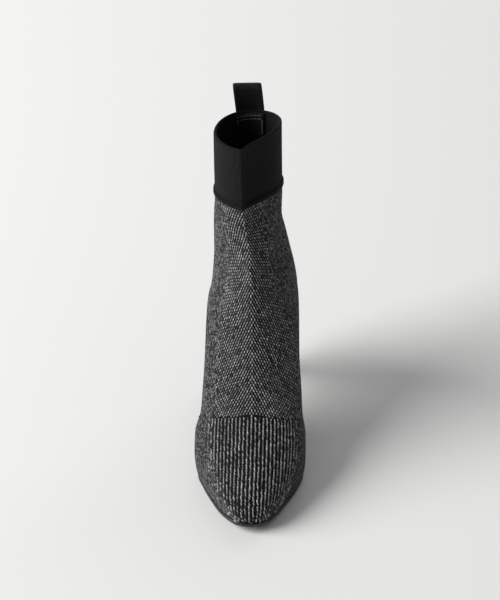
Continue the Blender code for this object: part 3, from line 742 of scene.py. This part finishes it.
def vamp_line(across):
    return np.interp(np.abs(across), VAMP_LINE[:, 0], VAMP_LINE[:, 1])


def cover(across, along):
    """Share of the floats at a place: 1 inside their field, 0 in the speckle."""
    table = PANEL_EDGE if along > vamp_line(across) else TOE_EDGE
    edge = np.interp(along, table[:, 0], table[:, 1 if across < 0 else 2])
    return float(np.clip((edge - abs(across)) / FIELD_FADE + 0.5, 0, 1))


# %% The knitted upper
def knit_skin():
    skin = Skin()
    along = np.repeat(ALONG[:, None], AROUND + 1, axis=1)
    sheets = [skin.rows(grid, ACROSS, along) for grid in (BODY, rings(KNIT_RUNS, KNIT_WALL))]
    y, lateral, medial = outline(SOLE_RUNS, LASTING_MARGIN)
    margins = []
    for sheet, lift in zip(sheets, (0.0, KNIT_WALL)):
        skin.bands(sheet)
        z = seat_height(y) + lift * slope_stretch(y)
        margins.append([skin.rows(np.column_stack([x, y, z])[:, None])[:, 0]
                        for x in (lateral, medial)])
    for k in (0, 1):
        for sheet, edges in zip(sheets, margins):
            skin.band(sheet[:len(SOLE_RUNS), -k], edges[k])
        skin.band(margins[0][k], margins[1][k])
    skin.band(sheets[0][-1], sheets[1][-1])
    return skin


def mark_floats(piece):
    """Store how dark the cloth is under the floats, for the material."""
    mesh = piece.data
    uv = np.zeros(2 * len(mesh.loops))
    mesh.uv_layers["cloth"].data.foreach_get("uv", uv)
    corners = np.zeros(len(mesh.loops), dtype=np.int32)
    mesh.loops.foreach_get("vertex_index", corners)
    dark = np.zeros(len(mesh.vertices))
    for vertex, (across, along) in zip(corners, uv.reshape(-1, 2)):
        dark[vertex] = max((cover(across, along) - BLACK_FROM) / (1 - BLACK_FROM), 0)
    mesh.attributes.new("under_floats", "FLOAT", "POINT").data.foreach_set("value", dark)


knit = knit_skin().piece("knit_upper", KNIT)
mark_floats(knit)
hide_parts("upper")

# %% [markdown]
# ### One float and its Geometry Nodes
#
# A float is a short bent length of yarn whose ends dive into the cloth. The tree
# takes a cloud of points, each with its own turn, size and lightness, puts a float
# on every point, and ends in Realize Instances and Set Material. The same tree
# serves the front panel, the toe's ribs and the sewing.

# %% A short yarn with diving ends, one unit long and wide
YARN_HEIGHT = 0.5
YARN_SWELL = 0.82  # how far the yarn thins to its ends
YARN_DIVE = 0.55


def yarn_mesh(name, steps=5, sides=5):
    mesh = bpy.data.meshes.new(name)
    points = []
    for t in np.linspace(-1, 1, steps):
        swell = math.sqrt(1 - YARN_SWELL * t * t)
        for angle in np.linspace(0, math.pi, sides):
            points.append((swell * math.cos(angle) / 2,
                           YARN_HEIGHT * (swell * math.sin(angle) - YARN_DIVE * t * t), t / 2))
    faces = [(r * sides + k, r * sides + k + 1, (r + 1) * sides + k + 1, (r + 1) * sides + k)
             for r in range(steps - 1) for k in range(sides - 1)]
    mesh.from_pydata(points, [], faces)
    mesh.flip_normals()
    mesh.shade_smooth()
    return bpy.data.objects.new(name, mesh)


# %% The tree that places yarns
UNEVEN = 0.10  # how much the yarns differ in size


def yarn_tree(yarn, material):
    tree = bpy.data.node_groups.new("place_yarns", "GeometryNodeTree")
    nodes, face = tree.nodes, tree.interface
    face.new_socket("Geometry", in_out="INPUT", socket_type="NodeSocketGeometry")
    size = face.new_socket("Yarn Size", in_out="INPUT", socket_type="NodeSocketFloat")
    seed = face.new_socket("Seed", in_out="INPUT", socket_type="NodeSocketInt")
    face.new_socket("Geometry", in_out="OUTPUT", socket_type="NodeSocketGeometry")
    size.default_value = 1.0

    def stored(name):
        node = nodes.new("GeometryNodeInputNamedAttribute")
        node.data_type = "FLOAT_VECTOR"
        node.inputs["Name"].default_value = name
        return node.outputs[0]

    entry = nodes.new("NodeGroupInput")
    shape = nodes.new("GeometryNodeObjectInfo")
    shape.inputs["Object"].default_value = yarn
    chance = nodes.new("FunctionNodeRandomValue")
    chance.data_type = "FLOAT_VECTOR"
    chance.inputs[0].default_value = [1 - UNEVEN] * 3
    chance.inputs[1].default_value = [1 + UNEVEN] * 3
    sized = nodes.new("ShaderNodeVectorMath")
    sized.operation = "MULTIPLY"
    grown = nodes.new("ShaderNodeVectorMath")
    grown.operation = "SCALE"
    put = nodes.new("GeometryNodeInstanceOnPoints")
    real = nodes.new("GeometryNodeRealizeInstances")
    paint = nodes.new("GeometryNodeSetMaterial")
    paint.inputs["Material"].default_value = material
    leave = nodes.new("NodeGroupOutput")
    for output, target in (
            (entry.outputs["Seed"], chance.inputs["Seed"]),
            (stored("size"), sized.inputs[0]),
            (chance.outputs[0], sized.inputs[1]),
            (sized.outputs[0], grown.inputs[0]),
            (entry.outputs["Yarn Size"], grown.inputs["Scale"]),
            (entry.outputs["Geometry"], put.inputs["Points"]),
            (shape.outputs["Geometry"], put.inputs["Instance"]),
            (stored("turn"), put.inputs["Rotation"]),
            (grown.outputs[0], put.inputs["Scale"]),
            (put.outputs[0], real.inputs[0]),
            (real.outputs[0], paint.inputs["Geometry"]),
            (paint.outputs[0], leave.inputs[0])):
        tree.links.new(output, target)
    return tree, size.identifier, seed.identifier


# %% The yarns of one field, and one plain mesh of them all
LEAN_SPREAD = 0.08
LEAST_SHADE = 0.05


class Yarns:
    def __init__(self, seed):
        self.seed = seed
        self.dice = np.random.default_rng(seed)
        self.rows = []

    def add(self, place, up, out, lean, size, shade):
        """A yarn along up that leans sideways by lean, with its back out."""
        along = up * math.cos(lean) + np.cross(out, up) * math.sin(lean)
        turn = Matrix((np.cross(out, along), out, along)).transposed().to_euler("XYZ")
        self.rows.append((place, turn[:], size, shade))

    def lay(self, across, along, lean, size, shade, spread):
        """A yarn on the knit, uneven in lean and lightness."""
        lean += self.dice.normal(0, LEAN_SPREAD)
        shade = np.clip(self.dice.normal(shade, spread), LEAST_SHADE, 1.0)
        self.add(*knit_frame(across, along), lean, size, shade)

    def place(self, name, yarn, material):
        points, turns, sizes, shades = (np.array(part, float) for part in zip(*self.rows))
        mesh = bpy.data.meshes.new(name + "_points")
        mesh.from_pydata((points + STAND).tolist(), [], [])
        for key, values in (("turn", turns), ("size", sizes)):
            layer = mesh.attributes.new(key, "FLOAT_VECTOR", "POINT")
            layer.data.foreach_set("vector", values.ravel())
        mesh.attributes.new("shade", "FLOAT", "POINT").data.foreach_set("value", shades)
        cloud = put_in_scene(name + "_points", mesh)
        modifier = cloud.modifiers.new("yarns", "NODES")
        modifier.node_group, size, seed = yarn_tree(yarn, material)
        modifier[size] = 1.0
        modifier[seed] = self.seed
        evaluated = cloud.evaluated_get(bpy.context.evaluated_depsgraph_get())
        made_mesh = bpy.data.meshes.new_from_object(evaluated)
        made_mesh.name = name
        cloud.modifiers.remove(modifier)
        bpy.data.objects.remove(cloud)
        made = put_in_scene(name, made_mesh)
        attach(made, "root")
        print(name, len(points), "yarns,", len(made_mesh.polygons), "faces")
        return made


# %% Yarn material
FIBRE_SCALE = 1500
FIBRE_TONE = (0.8, -0.40)  # share and shift of the fibres in a yarn's lightness


def yarn_material():
    look = Look("light_yarn", 0.55, 0.0003,
                {"Roughness": 0.85, "Specular IOR Level": 0.2, "Sheen Weight": 0.08})
    fibres = look.noise(FIBRE_SCALE)
    mixed = look.maths("MULTIPLY_ADD", fibres, *FIBRE_TONE)
    tone = look.maths("ADD", look.stored("shade"), mixed)
    colour = look.ramp(tone, ((0.12, BLACK_YARN), (0.42, GREY_YARN), (0.85, FLOAT_YARN)))
    return look.paint(colour, fibres)


YARN = yarn_material()

# %% Floats of the front panel
FLOAT_WALE = 0.00240
FLOAT_COURSE = 0.00215
FLOAT_COLUMNS = 22  # at each side of the ridge
FLOAT_START = 0.6  # in courses over the line at the ball
FLOAT_CLEAR = 0.001  # clear of that line
FLOAT_LEAN = math.radians(27)
FLOAT_SIZE = (0.00106, 0.00115, 0.00250)  # width, height, length
RIDGE_SIZE = (0.00112, 0.00115, 0.00250)
FLOAT_SHADE, RIDGE_SHADE, FLOAT_SPREAD = 0.61, 0.63, 0.085
FLOAT_SHRINK = 0.25  # at the edge of the field


def front_floats():
    yarns = Yarns(11)
    start = VAMP_LINE[0, 1]
    for course in range(int((ALONG[-1] - start) / FLOAT_COURSE)):
        along = start + (course + FLOAT_START) * FLOAT_COURSE
        columns_here = np.arange(-FLOAT_COLUMNS, FLOAT_COLUMNS + 1) + 0.5 * (course % 2)
        for across in columns_here * FLOAT_WALE:
            share = cover(across, along)
            if along < vamp_line(across) + FLOAT_CLEAR or yarns.dice.random() > share:
                continue
            on_ridge = abs(across) < FLOAT_WALE / 4
            size = np.array(RIDGE_SIZE if on_ridge else FLOAT_SIZE)
            yarns.lay(across, along, np.sign(across) * FLOAT_LEAN,
                      size * (1 - FLOAT_SHRINK + FLOAT_SHRINK * share),
                      RIDGE_SHADE if on_ridge else FLOAT_SHADE, FLOAT_SPREAD)
    return yarns.place("front_floats", yarn_mesh("float_yarn"), YARN)


floats = front_floats()

# %% Ribs of the toe
RIB_COUNT = 13  # at each side of the middle one
RIB_PITCH = 0.00290
RIB_STITCH = 0.00215
RIB_SIZE = (0.00114, 0.00160, 0.00275)
RIB_SHIFT = 0.00014  # unevenness of the stitches
RIB_LEAN = math.radians(16)
RIB_CLEAR = 0.0012  # clear of the line at the ball
RIB_TIP = 0.001  # and of the toe's tip
RIB_END = 0.0019  # and of the sole's edge
RIB_SHADE, RIB_SPREAD = 0.60, 0.10


def toe_ribs():
    yarns = Yarns(5)
    for across in np.arange(-RIB_COUNT, RIB_COUNT + 1) * RIB_PITCH:
        for along in np.arange(vamp_line(across) - RIB_CLEAR, RIB_TIP, -RIB_STITCH):
            here = int(np.searchsorted(ALONG, along))
            room = abs(ACROSS[here][0 if across < 0 else -1]) - abs(across)
            if room < RIB_END or yarns.dice.random() > cover(across, along):
                continue
            aside, ahead = yarns.dice.normal(0, RIB_SHIFT, 2)
            yarns.lay(across + aside, along + ahead, RIB_LEAN, RIB_SIZE, RIB_SHADE, RIB_SPREAD)
    return yarns.place("toe_ribs", yarn_mesh("rib_yarn", 6, 6), YARN)


ribs = toe_ribs()

# %% The loose end of yarn at the line over the ball
LOOSE_PLACE = (-0.0475, 0.0985)
LOOSE_RADIUS = 0.00035
LOOSE_RISE = (0.0001, 0.0019)  # start and reach outwards
LOOSE_BEND = (0.0016, 2.4)  # reach upwards and turn
LOOSE_RINGS, LOOSE_SIDES = 9, 6
THREAD_BLACK = plain_material("black_thread", (0.008, 0.008, 0.008), 0.9)


def loose_end():
    place, up, out = knit_frame(*LOOSE_PLACE)
    across = np.cross(up, out)
    grid = []
    for t in np.linspace(0, 1, LOOSE_RINGS):
        centre = (place + out * (LOOSE_RISE[0] + LOOSE_RISE[1] * t)
                  + up * LOOSE_BEND[0] * math.sin(LOOSE_BEND[1] * t))
        grid.append([centre + LOOSE_RADIUS * (math.cos(a) * up + math.sin(a) * across)
                     for a in np.linspace(0, 2 * math.pi, LOOSE_SIDES + 1)[:-1]])
    skin = Skin()
    rows = skin.rows(np.array(grid))
    skin.bands(rows, closed=True)
    for row in (rows[0], rows[-1]):
        skin.face(row)
    return skin.piece("loose_end", THREAD_BLACK)


end = loose_end()

# %% [markdown]
# ## The cuff
#
# The cuff is a band of black elastic folded over at the rim, so its edge is round
# and its two plies are one. Its hem doubles it once more over the knit's top edge,
# and a groove marks the hem's seam. Its own fine ribs stand upright.

# %% Elastic material, with painted shade in the grooves of its weave
ELASTIC_RIB = 0.0011
ELASTIC_WEFT = 0.0007
WEFT_SHARE = 0.5
WEAVE_PAINTED_SHADE = 0.10
FLUFF_SCALE = 900
ELASTIC_TONES = ((0.38, (0.0010, 0.0010, 0.0009)), (0.66, (0.0115, 0.0113, 0.0107)))


def elastic_material():
    look = Look("black_elastic", 0.7, 0.0004, {
        "Roughness": 0.85, "Specular IOR Level": 0.12, "Sheen Weight": 0.02,
        "Sheen Roughness": 0.5})
    u, v = look.cloth()
    weft = look.maths("MULTIPLY", look.wave(v, ELASTIC_WEFT), WEFT_SHARE)
    weave = look.maths("ADD", look.wave(u, ELASTIC_RIB), weft)
    # the weave's relief adds painted shade in the grooves of the ribs and weft; the noise is the
    # elastic's own grain
    tone = look.maths("MULTIPLY_ADD", weave, WEAVE_PAINTED_SHADE, look.noise(FLUFF_SCALE))
    return look.paint(look.ramp(tone, ELASTIC_TONES), weave)


ELASTIC = elastic_material()

# %% Folded band with its hem
GROOVE = (0.0011, 0.0005)  # half height and depth
GROOVE_LIP = 0.6 * GROOVE[0]
HEM_PROUD = 0.0008
HEM_CORNER = (0.0004, 0.0005)
FOLD_END = 0.0022  # below the rim
CUFF_STEPS = (28, 9, 12)  # outside, fold and inside


def cuff_levels():
    """Depth below the rim and offset outwards, round the section of the band."""
    hem_top = CUFF_HEIGHT - HEM_HEIGHT
    proud = GAP + HEM_PROUD
    straight = hem_top - 2 * GROOVE[0]
    outside = [(CUFF_HEIGHT, GAP), (CUFF_HEIGHT, proud - HEM_CORNER[0]),
               (CUFF_HEIGHT - HEM_CORNER[1], proud), (hem_top + 2 * RIM_ROUNDING, proud),
               (hem_top + GROOVE_LIP, proud - HEM_CORNER[1]), (hem_top, -GROOVE[1]),
               (hem_top - GROOVE[0], 0.0)]
    outside += [(below, 0.0) for below in np.linspace(straight, FOLD_END, CUFF_STEPS[0])]
    fold = [(CUFF_PLY * (1 - math.sin(a)), -CUFF_PLY * (1 - math.cos(a)))
            for a in np.linspace(0, math.pi, CUFF_STEPS[1])]
    inside = [(below, -2 * CUFF_PLY) for below in np.linspace(FOLD_END, straight, CUFF_STEPS[2])]
    last = -KNIT_WALL - GAP
    inside += [(hem_top, last - CUFF_PLY), (CUFF_HEIGHT, last - CUFF_PLY), (CUFF_HEIGHT, last)]
    slot = [(hem_top + GAP, last), (hem_top + GAP, GAP)]
    return outside + fold + inside + slot


def elastic_cuff():
    skin = Skin()
    levels = cuff_levels()
    grid = np.array([rings([at_back(below)], -offset)[0] for below, offset in levels])
    along = np.repeat([[below] for below, offset in levels], AROUND + 1, axis=1)
    rows = skin.rows(grid, girth(grid), along)
    skin.bands(rows)
    skin.band(rows[-1], rows[0])
    return skin.piece("elastic_cuff", ELASTIC)


cuff = elastic_cuff()
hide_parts("cuff")

# %% [markdown]
# ## Tape loop and back strip
#
# The loop is a woven tape in herringbone, folded once and sewn to the back of the
# cuff. Inside, a strip of the same width covers the seam, held by two rows of
# pale stitches under the rim and one down each side.

# %% Tape materials, with painted light and shade on the twill
TWILL = 0.0022
TAPE_BLACK = (0.0004, 0.0004, 0.0004)


def tape_material(name, herringbone, light):
    look = Look(name, 0.6, 0.0002, {"Roughness": 0.6, "Specular IOR Level": 0.15})
    u, v = look.cloth()
    twill = look.wave(look.maths("ADD", v, look.maths("PINGPONG", u, herringbone)), TWILL)
    # The twill's relief sets the colour: a painted sheen on its raised lines and painted shade in
    # its grooves, on black tape
    tone = look.maths("MULTIPLY_ADD", twill, 0.5, 0.5)
    twill_painted_light_and_shade = ((0.15, TAPE_BLACK), (0.85, (light, light, 0.97 * light)))
    return look.paint(look.ramp(tone, twill_painted_light_and_shade), twill)


TAPE = tape_material("woven_tape", 0.0054, 0.0125)
LINING = tape_material("lining_strip", 0.0110, 0.0150)

# %% Tape sizes and route
TAPE_WIDTH = 0.0215
TAPE_THICKNESS = 0.0011
TAPE_CENTRE = -0.0013
LOOP_RISE = 0.0205
LOOP_SEAM = 0.0180
LOOP_FOLD = 0.0068
LOOP_LEAN = -0.0022
LOOP_OPENING = 0.35
LOOP_FLATNESS = 0.75
SEAM_STEPS, FOLD_STEPS = 26, 18
STRIP_THICKNESS = 0.0008
STRIP_ENDS = (0.0020, 0.0420)
STRIP_STEPS, TAPE_STEPS = 24, 25
TAPE_ACROSS = np.linspace(-TAPE_WIDTH / 2, TAPE_WIDTH / 2, TAPE_STEPS)


def on_back(below, outward, across):
    """Points at the back of the collar, in a line across."""
    made = {name: value[0] for name, value in sections([at_back(below)], -outward).items()}
    spine = made["feather_lateral"]
    x = TAPE_CENTRE + across
    spread = np.where(x < spine, spine - made["lateral"], made["medial"] - spine)
    widest = np.where(x < spine, made["widest"], made["medial_widest"])
    base = made["base"]
    h = (1 - (1 - (np.abs(x - spine) / spread) ** base) ** (1 / base)) * widest
    y = made["low_y"] + h * (made["top_y"] - made["low_y"])
    z = made["low_z"] + h * (made["top_z"] - made["low_z"])
    return np.column_stack([x, y, z])


def loop_route():
    """Rise over the rim and offset outwards, along the tape."""
    radius = (LOOP_FOLD + TAPE_THICKNESS) / 2
    fold_start = LOOP_RISE - TAPE_THICKNESS / 2 - radius
    opening = -LOOP_OPENING * LOOP_SEAM
    closed_gap = TAPE_THICKNESS + GAP
    near = GAP + TAPE_THICKNESS / 2
    route = [(rise, near) for rise in np.linspace(-LOOP_SEAM, fold_start, SEAM_STEPS)]
    route += [(fold_start + radius * math.sin(a), near + radius * (1 - math.cos(a)))
              for a in np.linspace(0, math.pi, FOLD_STEPS)[1:-1]]
    for rise in np.linspace(fold_start, -LOOP_SEAM, SEAM_STEPS):
        share = np.clip((rise - opening) / (fold_start - opening), 0, 1)
        opened = math.sin(share * math.pi / 2)
        route.append((rise, near + closed_gap + (2 * radius - closed_gap) * opened))
    return route


# %% A thick ribbon with rounded edges
RIBBON_EDGE = ((0, 0.35), (1, 0.85))  # point from the edge, share of the thickness


def ribbon(rows, thickness, name, material):
    grid = np.array(rows)
    normal = np.cross(np.gradient(grid, axis=0), np.gradient(grid, axis=1))
    normal /= np.linalg.norm(normal, axis=2, keepdims=True)
    count = grid.shape[1]
    thin = np.ones(count)
    for point, share in RIBBON_EDGE:
        thin[[point, -1 - point]] = share
    skin = Skin()
    across = np.tile(np.linspace(0, TAPE_WIDTH, count), (len(grid), 1))
    along = np.repeat(run_along(grid[:, count // 2])[:, None], count, axis=1)
    faces = [skin.rows(grid + side * normal * thickness / 2 * thin[None, :, None], across, along)
             for side in (-1, 1)]
    for face in faces:
        skin.bands(face)
    for end in (0, -1):
        skin.band(faces[0][end], faces[1][end])
        skin.band(faces[0][:, end], faces[1][:, end])
    return skin.piece(name, material)


# %% The pull loop
def tape_loop():
    rows = []
    for rise, outward in loop_route():
        points = on_back(max(-rise, 0.0), outward, TAPE_ACROSS)
        over = max(rise, 0.0)
        flat = LOOP_FLATNESS * over / LOOP_RISE
        points[:, 1] += flat * (points[:, 1].max() - points[:, 1])
        points[:, 0] += LOOP_LEAN * over / LOOP_RISE
        points[:, 2] += over
        rows.append(points)
    return ribbon(rows, TAPE_THICKNESS, "tape_loop", TAPE)


loop = tape_loop()
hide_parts("pull_loop")

# %% The strip inside the back
def back_strip():
    middle = -2 * CUFF_PLY - GAP - STRIP_THICKNESS / 2
    rows = [on_back(below, middle, TAPE_ACROSS) for below in np.linspace(*STRIP_ENDS, STRIP_STEPS)]
    return ribbon(rows, STRIP_THICKNESS, "strip_inside", LINING)


strip = back_strip()
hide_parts("back_strip")

# %% [markdown]
# ## Sewing
#
# Sewn thread shows as a row of short beads. Each bead has a place and a direction,
# and the same tree that placed the floats lays a thread there. Thread, rubber and
# lacquer share one simple material, whose lightness and relief follow a fine noise.

# %% Thread
def grained_material(name, bump, depth, finish, scale, dark, light, detail=2.0):
    look = Look(name, bump, depth, finish)
    grain = look.noise(scale, detail)
    return look.paint(look.ramp(grain, ((0.3, dark), (0.7, light))), grain)


THREAD = grained_material("pale_thread", 0.3, 0.0001, {"Roughness": 0.6}, 2500,
                          (0.10, 0.10, 0.11), (0.34, 0.34, 0.36))
THREAD_SIZE = (0.00060, 0.00050, 0.00130)
THREAD_SHADE = 0.8
STITCH_STEP = 0.00190
SEAM_ROWS = (0.0040, 0.0066)  # below the rim
SIDE_SEAMS = ((-1, 0.0100), (1, 0.0180))  # side, and the seam's end below the rim
SIDE_START = 0.0082
SEAM_MARGIN = 0.0014
SEAM_REACH = 0.0004


def strip_stitches():
    face = -2 * CUFF_PLY - GAP - STRIP_THICKNESS
    half = TAPE_WIDTH / 2 - SEAM_MARGIN
    seams = [(below, across, 0.0, SEAM_REACH)
             for below in SEAM_ROWS for across in np.arange(-half, half, STITCH_STEP)]
    seams += [(below, side * half, -SEAM_REACH, 0.0)
              for side, last in SIDE_SEAMS for below in np.arange(SIDE_START, last, STITCH_STEP)]
    yarns = Yarns(3)
    for below, across, down, aside in seams:
        place = on_back(below, face, np.array([across]))[0]
        up = on_back(below + down, face, np.array([across + aside]))[0] - place
        up /= np.linalg.norm(up)
        out = np.array((0.0, -1.0, 0.0))
        out -= up * up.dot(out)
        yarns.add(place, up, out / np.linalg.norm(out), 0.0, THREAD_SIZE, THREAD_SHADE)
    return yarns.place("strip_stitches", yarn_mesh("thread_bead"), THREAD)


stitches = strip_stitches()

# %% [markdown]
# ## Sole, heel and insole
#
# The sole is a thin sheet of black rubber whose edge shows as a slightly glossy
# rim around the toe. It is meshed again with a rounded edge. The heel is a slim
# moulded block in satin black.

# %% Rubber and heel materials
RUBBER = grained_material("black_rubber", 0.12, 0.0002, {"Roughness": 0.27}, 700,
                          (0.0025, 0.0025, 0.0025), (0.0060, 0.0060, 0.0060), detail=3.0)
HEEL_LACQUER = grained_material(
    "heel_lacquer", 0.08, 0.0002,
    {"Roughness": 0.30, "Coat Weight": 0.15, "Coat Roughness": 0.25}, 60,
    (0.008, 0.008, 0.008), (0.014, 0.014, 0.015))

# %% Sole with a rounded edge
SOLE_ROUNDING = 0.0006
CORNER_CUT = 0.3 * SOLE_ROUNDING
SOLE_BORDER = 0.012


def thin_sole():
    skin = Skin()
    top, bottom = -GAP, -GAP - SOLE_THICKNESS
    soft, slight = SOLE_ROUNDING, CORNER_CUT
    levels = ((SOLE_BORDER, top), (soft, top), (slight, top - slight), (0, top - soft),
              (0, bottom + soft), (slight, bottom + slight), (soft, bottom),
              (SOLE_BORDER, bottom))
    grid = []
    for inset, level in levels:
        y, lateral, medial = outline(SOLE_RUNS, inset - SOLE_EDGE)
        z = seat_height(y) + level * slope_stretch(y)
        middle = (lateral + medial) / 2
        outer = np.column_stack([np.minimum(lateral, middle), y, z])
        inner = np.column_stack([np.maximum(medial, middle), y, z])
        grid.append(np.vstack([outer[::-1], inner[1:]]))
    rows = skin.rows(np.array(grid))
    skin.bands(rows)
    half = len(SOLE_RUNS)
    for row in (rows[0], rows[-1]):
        skin.band(row[:half][::-1], row[half - 1:])
    return skin.piece("thin_sole", RUBBER)


sole = thin_sole()
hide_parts("outsole")

# %% Heel with a smooth skin
HEEL_SEAT_LENGTH = 0.0520
HEEL_TIP = (0.0140, 0.0135)  # width, length
HEEL_TIP_SETIN = 0.0250
HEEL_SETBACK = 0.0006
TOP_PIECE = 0.0060
TIP_CORNER = 2.6
HEEL_TAPER = (0.12, 2.6)  # even share, and the power of the rest
BREAST_STEPS = 24
HEEL_LEVELS = 40
HEEL_SHARP = math.radians(35)


def heel_seat():
    """Ring of the heel under the sole, from the breast round the back."""
    runs = SOLE_RUNS[outline(SOLE_RUNS)[0] >= BOOT_LENGTH - HEEL_SEAT_LENGTH - GAP]
    y, lateral, medial = outline(runs, HEEL_SETBACK - SOLE_EDGE)
    z = seat_height(y) - (GAP + SOLE_THICKNESS) * slope_stretch(y) - GAP
    breast = np.linspace(lateral[0], medial[0], BREAST_STEPS + 1)[1:-1]
    front = np.column_stack([breast, np.full(len(breast), y[0]), np.full(len(breast), z[0])])
    inner = np.column_stack([medial, y, z])
    outer = np.column_stack([lateral, y, z])[-2::-1]
    return np.vstack([front, inner, outer])


def tip_ring(seat, height):
    """A rounded square whose points lie in the directions of the seat's."""
    middle = np.array([np.mean(seat[:, 0]), BOOT_LENGTH - HEEL_TIP_SETIN])
    away = seat[:, :2] - np.array([middle[0], np.mean(seat[:, 1])])
    angle = np.arctan2(away[:, 1] / np.ptp(away[:, 1]), away[:, 0] / np.ptp(away[:, 0]))
    reach = np.abs(np.cos(angle)) ** TIP_CORNER + np.abs(np.sin(angle)) ** TIP_CORNER
    size = reach ** (-1 / TIP_CORNER)
    return np.column_stack([middle[0] + HEEL_TIP[0] / 2 * size * np.cos(angle),
                            middle[1] + HEEL_TIP[1] / 2 * size * np.sin(angle),
                            np.full(len(angle), height)])


def smooth_heel():
    seat = heel_seat()
    tip = tip_ring(seat, TOP_PIECE + GAP)
    even, power = HEEL_TAPER
    grid = []
    for level in np.linspace(1, 0, HEEL_LEVELS + 1):
        ring_now = tip + (seat - tip) * (even * level + (1 - even) * level ** power)
        ring_now[:, 2] = tip[:, 2] + (seat[:, 2] - tip[:, 2]) * level
        grid.append(ring_now)
    skin = Skin()
    rows = skin.rows(np.array(grid))
    skin.bands(rows, closed=True)
    first = BREAST_STEPS - 1
    rungs = (len(seat) - first + 1) // 2
    inner = rows[0][first:first + rungs]
    outer = np.append(rows[0][first + rungs:][::-1], inner[-1])
    for edge in ([outer[0], *rows[0][:first], inner[0], inner[1], outer[1]], rows[-1]):
        skin.face(edge)
    skin.band(outer[1:], inner[1:])
    return skin.piece("smooth_heel", HEEL_LACQUER)


heel = smooth_heel()
heel.data.set_sharp_from_angle(angle=HEEL_SHARP)
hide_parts("heel")

# %% Finishes of the solids that stay
for node, material in (("heel_top_piece", RUBBER), ("insole", LINING)):
    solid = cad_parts[node]
    solid.data.materials.clear()
    solid.data.materials.append(material)
